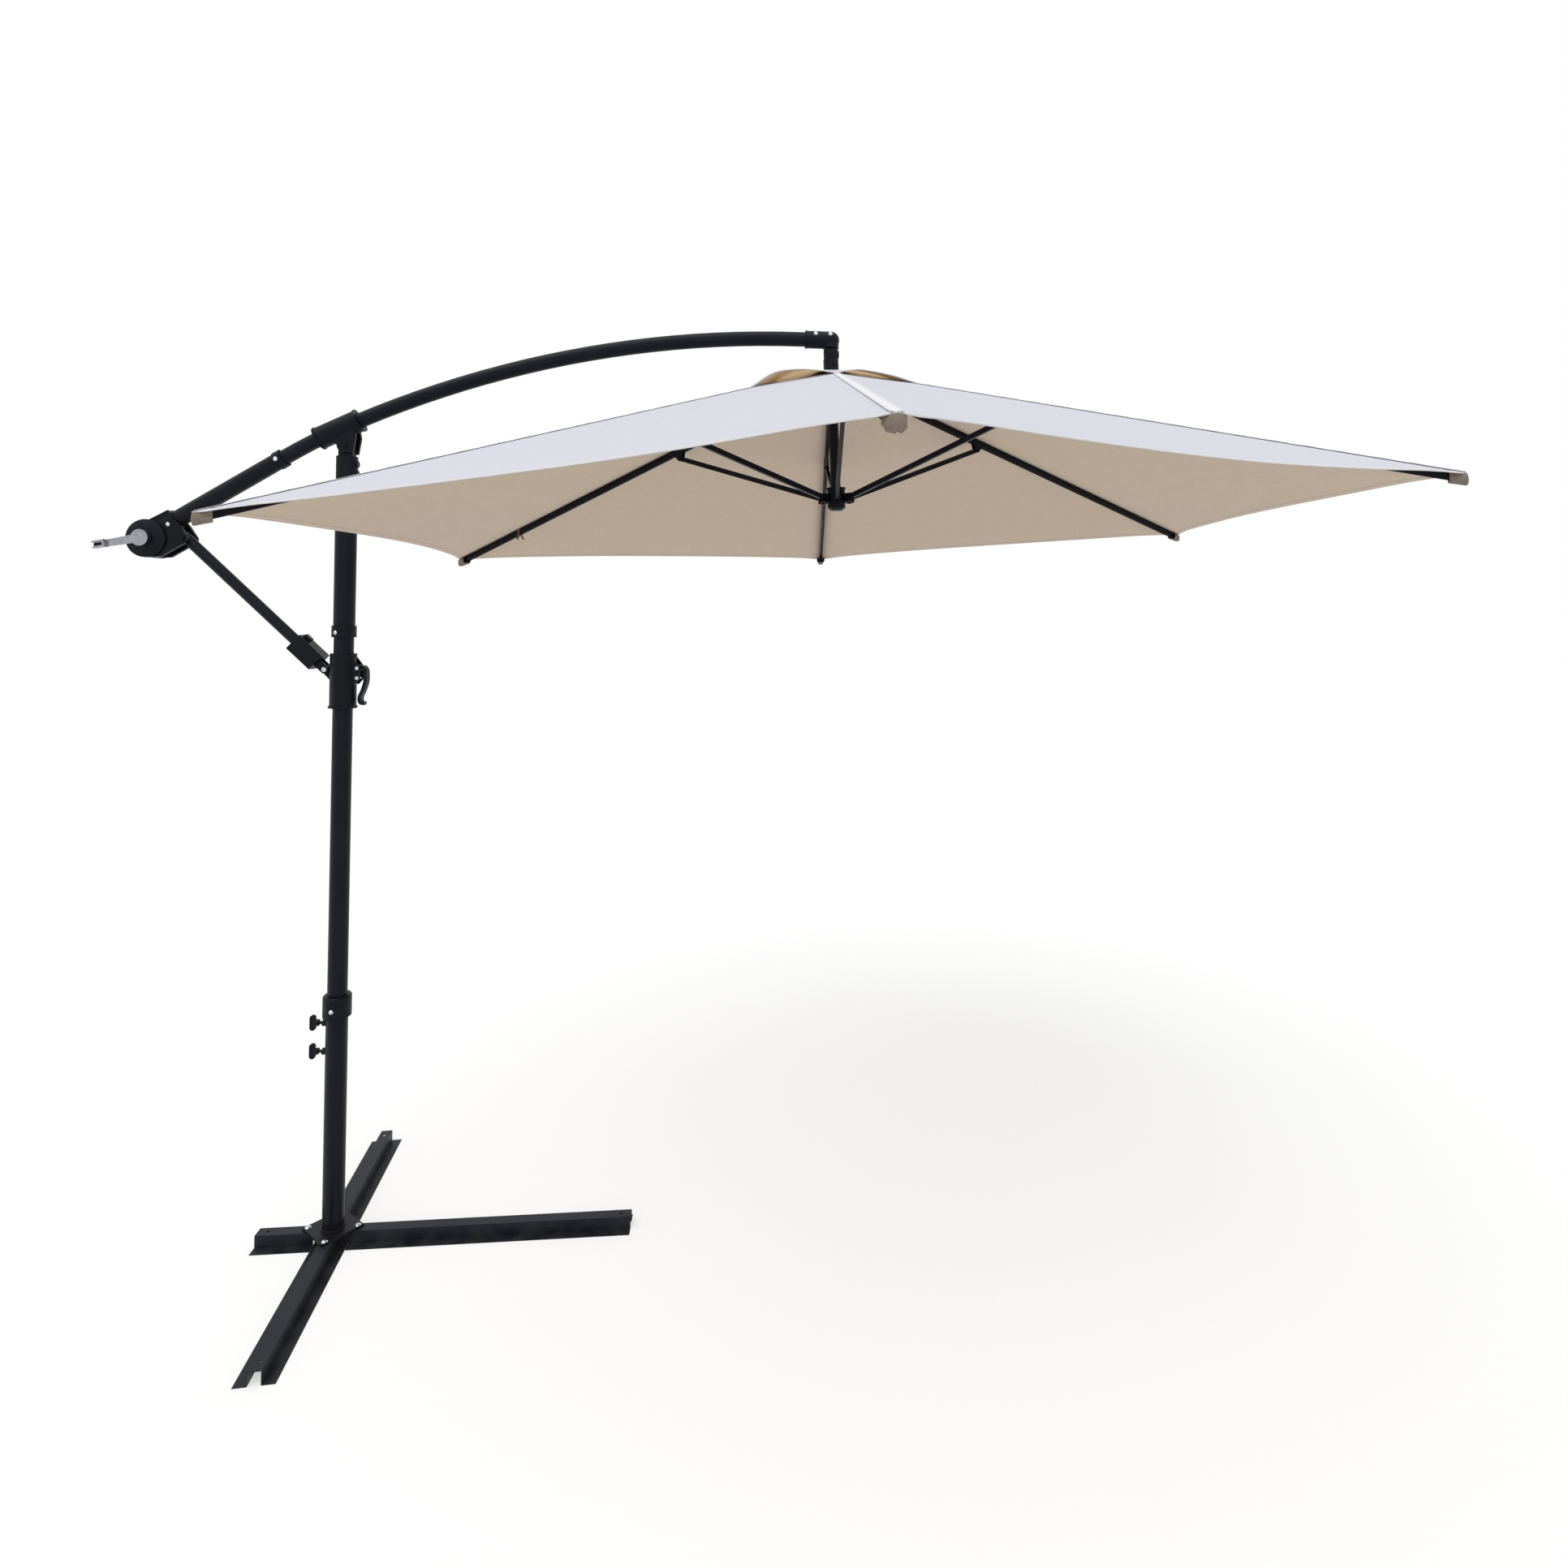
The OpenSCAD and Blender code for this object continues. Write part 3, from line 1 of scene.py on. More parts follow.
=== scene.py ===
"""Looks, camera and light of the patio umbrella with base.

Everything is in metres in the object's own frame: the mast stands at the origin, the arm reaches out
along +X and +Z is up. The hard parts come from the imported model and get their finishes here. The
cloth with its hems, tapes, pockets and tie, the lift rope and the weld bead are made here.
"""

from __future__ import annotations

import json
import logging
import math
import random
from dataclasses import dataclass, field
from enum import Enum
from functools import partial
from typing import Any, Callable

import bmesh
import bpy
from mathutils import Matrix, Vector

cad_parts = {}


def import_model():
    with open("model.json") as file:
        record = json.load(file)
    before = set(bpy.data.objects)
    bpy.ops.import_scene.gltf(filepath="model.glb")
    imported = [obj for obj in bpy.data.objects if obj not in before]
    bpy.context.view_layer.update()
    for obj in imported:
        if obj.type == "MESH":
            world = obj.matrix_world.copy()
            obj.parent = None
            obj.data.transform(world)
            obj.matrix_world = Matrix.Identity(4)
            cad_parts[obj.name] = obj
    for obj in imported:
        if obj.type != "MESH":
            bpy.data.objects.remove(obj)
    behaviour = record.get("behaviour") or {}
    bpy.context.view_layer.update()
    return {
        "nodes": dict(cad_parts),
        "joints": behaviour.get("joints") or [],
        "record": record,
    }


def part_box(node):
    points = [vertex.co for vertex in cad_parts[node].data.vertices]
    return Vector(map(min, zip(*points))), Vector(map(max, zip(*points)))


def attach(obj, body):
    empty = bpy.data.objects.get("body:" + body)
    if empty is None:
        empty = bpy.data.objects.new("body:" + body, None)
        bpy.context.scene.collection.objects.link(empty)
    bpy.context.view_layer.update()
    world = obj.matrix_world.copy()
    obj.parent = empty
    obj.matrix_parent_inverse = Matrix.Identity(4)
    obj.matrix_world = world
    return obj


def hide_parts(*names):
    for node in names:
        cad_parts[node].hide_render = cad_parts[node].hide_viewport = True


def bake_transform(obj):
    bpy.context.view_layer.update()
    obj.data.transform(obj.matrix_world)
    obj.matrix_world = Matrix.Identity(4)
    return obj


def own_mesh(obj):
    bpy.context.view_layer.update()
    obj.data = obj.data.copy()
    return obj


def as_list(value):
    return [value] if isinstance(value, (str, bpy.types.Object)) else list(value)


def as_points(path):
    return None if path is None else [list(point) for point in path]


LOG = logging.getLogger("patio_umbrella")
MM = 0.001
PER_METRE = 1000.0
# A Wave texture's band is 0.314 units wide at scale 1
WAVE = 0.314 * PER_METRE
# The canopy has six ribs, this many degrees apart, the first of them on the -Y side
RIBS = 6
RIB_STEP = 360 / RIBS
FIRST_RIB = -90.0
Place = Callable[[float, float], Vector]
Socket = bpy.types.NodeSocket


def linear(code: str) -> tuple[float, float, float, float]:
    """Turns an sRGB colour into Blender's linear one.

    Args:
        code: The colour as #rrggbb.

    Returns:
        Red, green, blue and alpha, linear.
    """
    parts = [int(code[i : i + 2], 16) / 255 for i in (1, 3, 5)]
    red, green, blue = (c / 12.92 if c <= 0.04045 else ((c + 0.055) / 1.055) ** 2.4 for c in parts)
    return red, green, blue, 1.0


def add_node(
    tree: bpy.types.NodeTree,
    kind: str,
    inputs: dict[str | int, Any] | None = None,
    out: str | int = 0,
    **settings: Any,
) -> Socket | None:
    """Adds one node with its settings and links.

    Args:
        tree: The material's or world's node tree.
        kind: The node's type name, without its leading ShaderNode.
        inputs: A value or another node's output for each input, by identifier, name or number.
        out: The output that is wanted, by identifier, name or number.
        **settings: Properties of the node itself.

    Returns:
        That output, or None where the node has no output.
    """
    node = tree.nodes.new("ShaderNode" + kind)
    for name, value in settings.items():
        setattr(node, name, value)
    for key, value in (inputs or {}).items():
        target = next((s for s in node.inputs if s.identifier == key), None) or node.inputs[key]
        if isinstance(value, Socket):
            tree.links.new(value, target)
        else:
            target.default_value = value
    if not node.outputs:
        return None
    return next((s for s in node.outputs if s.identifier == out), None) or node.outputs[out]


def empty_material(name: str) -> tuple[bpy.types.Material, Callable[..., Socket]]:
    """Makes a material with no nodes.

    Args:
        name: What the material is.

    Returns:
        The material, and add_node for its node tree.
    """
    material = bpy.data.materials.new(name)
    material.use_nodes = True
    material.node_tree.nodes.clear()
    return material, partial(add_node, material.node_tree)


@dataclass(frozen=True)
class Relief:
    """How strongly a finish's small relief shows."""

    strength: float
    depth_mm: float

    def close(self, node: Callable[..., Socket], height: Socket, inputs: dict[str, Any]) -> None:
        """Ends a material with its shader and its bump.

        Args:
            node: add_node for the material's tree.
            height: The relief's height, from 0 to 1.
            inputs: The shader's values and sockets.
        """
        depth = {"Strength": self.strength, "Distance": self.depth_mm * MM}
        bump = node("Bump", {"Height": height, **depth})
        node("OutputMaterial", {"Surface": node("BsdfPrincipled", {**inputs, "Normal": bump})})


@dataclass(frozen=True)
class PowderCoat:
    """Polyester powder baked on steel: a satin skin, faintly pebbled, a little duller where hands go."""

    name: str
    colour: str
    dull: str
    rough_low: float
    rough_high: float
    # Strength of the skin's sheen, and its tint: the blue is a painted reflection of a blue sky
    gloss: float = 0.2
    painted_sky_tint: str = "#c2cbe6"
    # Handled patches are about as wide as a palm
    patch_mm: float = 90.0
    # Dust settles up to this height in metres, in this colour, in patches of this size
    dust_height: float = 0.0
    dust: str = "#43423f"
    dust_mm: float = 45.0
    dust_cover: float = 0.5
    dust_rough: float = 0.25
    # Real pebbles are about 0.8 mm across, drawn at 1.4 mm so that they show
    pebble_mm: float = 1.4
    relief: Relief = Relief(0.16, 0.2)

    def make(self) -> bpy.types.Material:
        """Makes the material.

        Returns:
            The material, ready to be put on a piece.
        """
        material, node = empty_material(self.name)
        where = node("TexCoord", out="Object")
        cloud = node("TexNoise", {"Vector": where, "Scale": PER_METRE / self.patch_mm, "Detail": 4.0})
        patch = node("MapRange", {"Value": cloud, "From Min": 0.35, "From Max": 0.7})
        colours = {"Factor_Float": patch, "A_Color": linear(self.colour), "B_Color": linear(self.dull)}
        colour = node("Mix", colours, "Result_Color", data_type="RGBA")
        spread = {"From Min": 0.3, "From Max": 0.7, "To Min": self.rough_low, "To Max": self.rough_high}
        rough = node("MapRange", {"Value": cloud, **spread})
        if self.dust_height > 0:
            up = node("SeparateXYZ", {"Vector": where}, "Z")
            fading = {"From Max": self.dust_height, "To Min": self.dust_cover, "To Max": 0.0}
            low = node("MapRange", {"Value": up, **fading})
            scale = PER_METRE / self.dust_mm
            settled = node("TexNoise", {"Vector": where, "Scale": scale, "Detail": 5.0})
            settled = node("MapRange", {"Value": settled, "From Min": 0.4, "From Max": 0.75})
            settled = node("Math", {0: low, 1: settled}, operation="MULTIPLY")
            colours = {"Factor_Float": settled, "A_Color": colour, "B_Color": linear(self.dust)}
            colour = node("Mix", colours, "Result_Color", data_type="RGBA")
            rough = node("Math", {0: settled, 1: self.dust_rough, 2: rough}, operation="MULTIPLY_ADD")
        pebbles = node("TexNoise", {"Vector": where, "Scale": PER_METRE / self.pebble_mm, "Detail": 2.0})
        shader = {
            "Base Color": colour,
            "Roughness": rough,
            "IOR": 1.48,
            "Specular IOR Level": self.gloss,
            "Specular Tint": linear(self.painted_sky_tint),
        }
        self.relief.close(node, pebbles, shader)
        return material


@dataclass(frozen=True)
class MouldedPlastic:
    """Injection-moulded plastic from a spark-eroded tool: a fine even grain that breaks up the gloss."""

    name: str
    colour: str
    worn: str
    roughness: float
    # Strength of its sheen, and its tint: the blue is a painted reflection of a blue sky
    gloss: float = 0.22
    painted_sky_tint: str = "#ccd4ea"
    # Flow marks of the melt, and rubbed places
    flow_mm: float = 28.0
    rub_mm: float = 9.0
    # The tool's grain is about 0.2 mm, drawn at 0.9 mm so that it shows
    grain_mm: float = 0.9
    relief: Relief = Relief(0.14, 0.15)

    def make(self) -> bpy.types.Material:
        """Makes the material.

        Returns:
            The material, ready to be put on a piece.
        """
        material, node = empty_material(self.name)
        where = node("TexCoord", out="Object")
        flow = node("TexNoise", {"Vector": where, "Scale": PER_METRE / self.flow_mm, "Detail": 3.0})
        flow = node("MapRange", {"Value": flow, "From Min": 0.4, "From Max": 0.72})
        colours = {"Factor_Float": flow, "A_Color": linear(self.colour), "B_Color": linear(self.worn)}
        rubbed = node("TexNoise", {"Vector": where, "Scale": PER_METRE / self.rub_mm, "Detail": 5.0})
        spread = {"To Min": self.roughness - 0.06, "To Max": self.roughness + 0.1}
        shader = {
            "Base Color": node("Mix", colours, "Result_Color", data_type="RGBA"),
            "Roughness": node("MapRange", {"Value": rubbed, "From Min": 0.3, "From Max": 0.7, **spread}),
            "IOR": 1.5,
            "Specular IOR Level": self.gloss,
            "Specular Tint": linear(self.painted_sky_tint),
        }
        grain = node("TexVoronoi", {"Vector": where, "Scale": PER_METRE / self.grain_mm})
        self.relief.close(node, grain, shader)
        return material


@dataclass(frozen=True)
class PlatedMetal:
    """Plated metal: bright, with faint clouds in the plating and hairline scratches."""

    name: str
    colour: str
    shade: str
    roughness: float
    cloud_mm: float = 12.0
    # Brush marks are about 0.1 mm apart, drawn at 0.6 mm so that they show
    mark_mm: float = 0.6
    # A mark is this many times as long as it is wide
    mark_run: float = 12.5
    relief: Relief = Relief(0.05, 0.04)

    def make(self) -> bpy.types.Material:
        """Makes the material.

        Returns:
            The material, ready to be put on a piece.
        """
        material, node = empty_material(self.name)
        where = node("TexCoord", out="Object")
        cloud = node("TexNoise", {"Vector": where, "Scale": PER_METRE / self.cloud_mm, "Detail": 4.0})
        cloud = node("MapRange", {"Value": cloud, "From Min": 0.3, "From Max": 0.7})
        colours = {"Factor_Float": cloud, "A_Color": linear(self.colour), "B_Color": linear(self.shade)}
        along = node("Mapping", {"Vector": where, "Scale": (1 / self.mark_run, 1.0, 1.0)})
        marks = node("TexNoise", {"Vector": along, "Scale": PER_METRE / self.mark_mm, "Detail": 3.0})
        spread = {"To Min": self.roughness - 0.04, "To Max": self.roughness + 0.07}
        shader = {
            "Base Color": node("Mix", colours, "Result_Color", data_type="RGBA"),
            "Metallic": 1.0,
            "Roughness": node("MapRange", {"Value": cloud, **spread}),
        }
        self.relief.close(node, marks, shader)
        return material


@dataclass(frozen=True)
class MouldedRubber:
    """Moulded rubber: dull, with a bloom on its high places."""

    name: str
    colour: str
    bloom: str
    bloom_mm: float = 6.0
    # The mould's grain is about 0.3 mm, drawn at 1.1 mm so that it shows
    grain_mm: float = 1.1
    relief: Relief = Relief(0.25, 0.2)

    def make(self) -> bpy.types.Material:
        """Makes the material.

        Returns:
            The material, ready to be put on a piece.
        """
        material, node = empty_material(self.name)
        where = node("TexCoord", out="Object")
        bloom = node("TexNoise", {"Vector": where, "Scale": PER_METRE / self.bloom_mm, "Detail": 5.0})
        bloom = node("MapRange", {"Value": bloom, "From Min": 0.45, "From Max": 0.75})
        colours = {"Factor_Float": bloom, "A_Color": linear(self.colour), "B_Color": linear(self.bloom)}
        shader = {
            "Base Color": node("Mix", colours, "Result_Color", data_type="RGBA"),
            "Roughness": node("MapRange", {"Value": bloom, "To Min": 0.7, "To Max": 0.9}),
            "IOR": 1.52,
            "Specular IOR Level": 0.25,
        }
        grain = node("TexNoise", {"Vector": where, "Scale": PER_METRE / self.grain_mm, "Detail": 3.0})
        self.relief.close(node, grain, shader)
        return material


@dataclass(frozen=True)
class WovenCloth:
    """Plain-woven polyester: matt, slightly melange, with a thicker thread here and there.

    The weave follows the piece's own UV map, which is in metres across and along the cut.
    """

    name: str
    colour: str
    fleck: str
    shade: str
    sheen: float = 0.15
    # Share of the light that comes through from the cloth's other side
    through: float = 0.0
    stitch: str = ""
    stitch_rows: tuple[float, ...] = ()
    # Threads are 0.5 mm apart, drawn at 1.5 mm so that the weave shows
    thread_mm: float = 1.5
    # Thick threads show as flecks of this width, drawn out along the cut by one over this share
    fleck_mm: float = 2.6
    fleck_run: float = 0.12
    # Sun-faded patches
    fade_mm: float = 55.0
    # A stitch every 4 mm, of which this share shows, on a line this far to each side of its row
    stitch_mm: float = 4.0
    stitch_share: float = 0.68
    stitch_half: float = 0.0006
    relief: Relief = Relief(0.3, 0.22)

    def stitches(self, node: Callable[..., Socket], flat: Socket) -> Socket:
        """Marks the lines of lockstitch.

        Args:
            node: add_node for the material's tree.
            flat: Metres across and along the tape.

        Returns:
            1 on a stitch and 0 elsewhere.
        """
        across = node("SeparateXYZ", {"Vector": flat}, "X")
        along = node("SeparateXYZ", {"Vector": flat}, "Y")
        step = node("Math", {0: along, 1: PER_METRE / self.stitch_mm}, operation="MULTIPLY")
        step = node("Math", {0: step}, operation="FRACT")
        marks = node("Math", {0: step, 1: self.stitch_share}, operation="LESS_THAN")
        lines = [
            node("Math", {0: across, 1: row, 2: self.stitch_half}, operation="COMPARE")
            for row in self.stitch_rows
        ]
        either = lines[0]
        for line in lines[1:]:
            either = node("Math", {0: either, 1: line}, operation="MAXIMUM")
        return node("Math", {0: either, 1: marks}, operation="MULTIPLY")

    def make(self) -> bpy.types.Material:
        """Makes the material.

        Returns:
            The material, ready to be put on a piece.
        """
        material, node = empty_material(self.name)
        flat = node("TexCoord", out="UV")
        threads = {"Vector": flat, "Scale": WAVE / self.thread_mm}
        warp = node("TexWave", threads, "Fac", bands_direction="X")
        weft = node("TexWave", threads, "Fac", bands_direction="Y")
        height = node("Math", {0: warp, 1: weft}, operation="MULTIPLY")
        slub = node("Mapping", {"Vector": flat, "Scale": (1.0, self.fleck_run, 1.0)})
        flecks = node("TexNoise", {"Vector": slub, "Scale": PER_METRE / self.fleck_mm, "Detail": 3.0})
        flecks = node("MapRange", {"Value": flecks, "From Min": 0.42, "From Max": 0.72, "To Max": 0.8})
        colours = {"Factor_Float": flecks, "A_Color": linear(self.colour), "B_Color": linear(self.fleck)}
        colour = node("Mix", colours, "Result_Color", data_type="RGBA")
        blotch = node("TexNoise", {"Vector": flat, "Scale": PER_METRE / self.fade_mm, "Detail": 4.0})
        faded = node("MapRange", {"Value": blotch, "From Min": 0.35, "From Max": 0.7, "To Max": 0.5})
        colours = {"Factor_Float": faded, "A_Color": colour, "B_Color": linear(self.shade)}
        colour = node("Mix", colours, "Result_Color", data_type="RGBA")
        height = node("Math", {0: flecks, 1: 0.4, 2: height}, operation="MULTIPLY_ADD")
        if self.stitch_rows:
            marks = self.stitches(node, flat)
            colours = {"Factor_Float": marks, "A_Color": colour, "B_Color": linear(self.stitch)}
            colour = node("Mix", colours, "Result_Color", data_type="RGBA")
            height = node("Math", {0: marks, 1: -1.5, 2: height}, operation="MULTIPLY_ADD")
        spread = {"From Max": 0.5, "To Min": 0.78, "To Max": 0.92}
        shader = {
            "Base Color": colour,
            "Roughness": node("MapRange", {"Value": faded, **spread}),
            "IOR": 1.45,
            "Specular IOR Level": 0.2,
            "Sheen Weight": self.sheen,
            "Sheen Roughness": 0.5,
            "Subsurface Weight": self.through,
            "Subsurface Scale": 3 * MM,
            "Subsurface Radius": (1.0, 0.9, 0.8),
        }
        self.relief.close(node, height, shader)
        return material


@dataclass(frozen=True)
class BraidedRope:
    """Braided polyester rope: two families of strands that cross at a slant."""

    name: str
    colour: str
    shade: str
    # A strand is 1.2 mm wide, drawn at 2 mm so that it shows
    strand_mm: float = 2.0
    relief: Relief = Relief(0.5, 0.3)

    def make(self) -> bpy.types.Material:
        """Makes the material.

        Returns:
            The material, ready to be put on a piece.
        """
        material, node = empty_material(self.name)
        where = node("TexCoord", out="Object")
        strands = []
        for side in (1.0, -1.0):
            slant = node("Mapping", {"Vector": where, "Scale": (1.0, 1.0, side)})
            bands = {"Vector": slant, "Scale": WAVE / self.strand_mm}
            strands.append(node("TexWave", bands, "Fac", bands_direction="DIAGONAL"))
        braid = node("Math", {0: strands[0], 1: strands[1]}, operation="MULTIPLY")
        colours = {"Factor_Float": braid, "A_Color": linear(self.shade), "B_Color": linear(self.colour)}
        shader = {
            "Base Color": node("Mix", colours, "Result_Color", data_type="RGBA"),
            "Roughness": 0.85,
            "Sheen Weight": 0.2,
        }
        self.relief.close(node, braid, shader)
        return material


# Rows of lockstitch, from the inner edge of a hem and from one edge of a tape
HEM_ROWS = (3 * MM, 18.5 * MM)
TAPE_ROWS = (3 * MM, 15 * MM)


class Finish(Enum):
    """The finishes of the umbrella, by what each really is; some colours also hold painted light, shade
    or reflection.
    """

    FRAME = PowderCoat("Powder-coated steel, black satin", "#131317", "#19191e", 0.34, 0.46, gloss=0.2)
    BASE = PowderCoat(
        "Powder-coated steel, charcoal", "#17191f", "#212329", 0.4, 0.52, gloss=0.28, dust_height=0.06
    )
    PLASTIC = MouldedPlastic("Glass-filled nylon, black", "#08080a", "#0e0f12", 0.42)
    ZINC = PlatedMetal("Zinc-plated steel", "#d3d6da", "#b6babf", 0.28)
    BLACK_ZINC = PlatedMetal("Black zinc-plated steel", "#26262a", "#1c1c20", 0.34)
    CRANK = PlatedMetal("Nickel-plated zinc casting", "#a6a9af", "#909399", 0.25)
    GRIP = MouldedPlastic("Polypropylene, black", "#0f0f12", "#17181b", 0.5)
    ACETAL = MouldedPlastic("Acetal, dark grey", "#3b3c3e", "#46474a", 0.38)
    RUBBER = MouldedRubber("Nitrile rubber", "#161616", "#242424")
    # Painted light: the cloth's face is drawn whiter and bluer than its back, as its top is lit from
    # above; the cloth is the back's beige on both sides
    CLOTH_TOP = WovenCloth("Polyester canopy cloth, face, painted light", "#dddde8", "#d0d1da", "#d5d6e0")
    CLOTH_UNDER = WovenCloth(
        "Polyester canopy cloth, back", "#ddcbb7", "#cdbba8", "#d3c2ae", sheen=0.05
    )
    # Painted light: the cap's back is drawn brighter and more orange than the cover's back, a painted
    # glow of light through the cloth, beside the real light its subsurface lets through
    CAP_UNDER = WovenCloth(
        "Polyester vent cap, back, painted glow", "#ffd7ac", "#f4caa0", "#f8d0a6", sheen=0.05, through=0.6
    )
    # Painted light: the hem's face is drawn whiter than its back, as lit from above, like the canopy
    # cloth
    HEM = WovenCloth(
        "Polyester hem, folded, painted light", "#e8e6ea", "#dad8da", "#e0dee2", stitch="#b9b5b2", stitch_rows=HEM_ROWS
    )
    HEM_UNDER = WovenCloth(
        "Polyester hem, back", "#dfcdb9", "#cebcaa", "#d5c4b1", stitch="#9a8977", stitch_rows=HEM_ROWS
    )
    TAPE = WovenCloth(
        "Polyester seam tape", "#f6f6fa", "#ebebf0", "#f0f0f4", stitch="#c6c6cb", stitch_rows=TAPE_ROWS
    )
    # Painted shade: the pocket, of the canopy's cloth, is drawn dark taupe for the shade under the rib
    # tip
    POCKET = WovenCloth("Polyester tip pocket, painted shade", "#8d8073", "#796d62", "#6b6158", sheen=0.05)
    TIE = WovenCloth("Polyester rib tie", "#7c5a4c", "#6c4d41", "#64483d", sheen=0.05)
    ROPE = BraidedRope("Braided polyester rope", "#cfccc2", "#8e8b82")

    def material(self) -> bpy.types.Material:
        """Returns the finish's material, made on its first use."""
        return bpy.data.materials.get(self.value.name) or self.value.make()


SLOT_FINISH: dict[str, Finish] = {
    "frame_paint": Finish.FRAME,
    "base_paint": Finish.BASE,
    "black_plastic": Finish.PLASTIC,
    "zinc_steel": Finish.ZINC,
    "crank_chrome": Finish.CRANK,
    "grip_plastic": Finish.GRIP,
    "nylon": Finish.ACETAL,
    "brake_rubber": Finish.RUBBER,
    "canopy_cloth": Finish.CLOTH_TOP,
    "lift_rope": Finish.ROPE,
}

# Steel parts that are blackened, unlike the rest of their slot
NODE_FINISH: dict[str, Finish] = {
    "brace_pin": Finish.BLACK_ZINC,
    "head_pin": Finish.BLACK_ZINC,
    "hub_pins": Finish.BLACK_ZINC,
    "swing_pin": Finish.BLACK_ZINC,
    "socket_screw": Finish.BLACK_ZINC,
}


def mesh_piece(name: str, bm: bmesh.types.BMesh, finishes: list[Finish]) -> bpy.types.Object:
    """Turns a bmesh into a smooth piece at the origin.

    Args:
        name: The piece's name.
        bm: Its shape in the object's frame. It is freed.
        finishes: The finish of each material number.

    Returns:
        The piece.
    """
    mesh = bpy.data.meshes.new(name)
    for face in bm.faces:
        face.smooth = True
    bm.to_mesh(mesh)
    bm.free()
    for finish in finishes:
        mesh.materials.append(finish.material())
    piece = bpy.data.objects.new(name, mesh)
    bpy.context.scene.collection.objects.link(piece)
    LOG.info("%s: %d faces, %s", name, len(mesh.polygons), finishes[0].value.name)
    return piece


@dataclass(frozen=True)
class Cut:
    """A piece of cloth as it is cut, before it is laid over its frame."""

    width: float
    length: float
    # How many cells it has across and along
    cells: tuple[int, int]
    thick: float
    face: Finish
    back: Finish

    def lay(self, name: str, place: Place, up: Vector) -> bpy.types.Object:
        """Lays the cloth over a surface.

        Args:
            name: The piece's name.
            place: Gives the point for a share across and a share along.
            up: The side to which the cloth's face points.

        Returns:
            The piece, with its live thickness.
        """
        bm = bmesh.new()
        flat = bm.loops.layers.uv.new("cut")
        bmesh.ops.create_grid(bm, x_segments=self.cells[0], y_segments=self.cells[1], size=0.5)
        for face in bm.faces:
            for loop in face.loops:
                corner = loop.vert.co
                loop[flat].uv = ((corner.x + 0.5) * self.width, (corner.y + 0.5) * self.length)
        for vert in bm.verts:
            vert.co = place(vert.co.x + 0.5, vert.co.y + 0.5)
        bmesh.ops.remove_doubles(bm, verts=bm.verts, dist=0.01 * MM)
        bm.normal_update()
        if sum((face.normal.dot(up) * face.calc_area() for face in bm.faces), 0.0) < 0:
            bmesh.ops.reverse_faces(bm, faces=bm.faces)
        piece = mesh_piece(name, bm, [self.face, self.back])
        wall = piece.modifiers.new("Thickness", "SOLIDIFY")
        wall.thickness = self.thick
        wall.offset = 0.0
        wall.material_offset = 1
        wall.use_even_offset = False
        # The cut edges are far narrower than the faces, so they don't round the cloth's shading
        piece.modifiers.new("Flat shading at the edges", "WEIGHTED_NORMAL")
        return piece


@dataclass
class CanopyFrame:
    """Where the canopy's frame stands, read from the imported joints."""

    joints: dict[str, dict[str, Any]]
    up: Vector = field(init=False)
    pose: Matrix = field(init=False)

    def __post_init__(self) -> None:
        """Works out the pole's own frame, with the swing pin at its origin."""
        pin = Vector(self.joints["canopy_swing"]["pos_m"])
        self.up = -Vector(self.joints["runner_travel"]["axis"]).normalized()
        side = Vector((0.0, 1.0, 0.0))
        out = side.cross(self.up).normalized()
        turn = Matrix((out, side, self.up)).transposed().to_4x4()
        self.pose = Matrix.Translation(pin) @ turn

    def rib(self, number: int) -> Matrix:
        """Gives a rib's frame.

        Args:
            number: The rib's number, from 1 to 6.

        Returns:
            The pole's frame turned so that +X points out over that rib.
        """
        turn = math.radians(FIRST_RIB + RIB_STEP * (number - 1))
        return self.pose @ Matrix.Rotation(turn, 4, "Z")


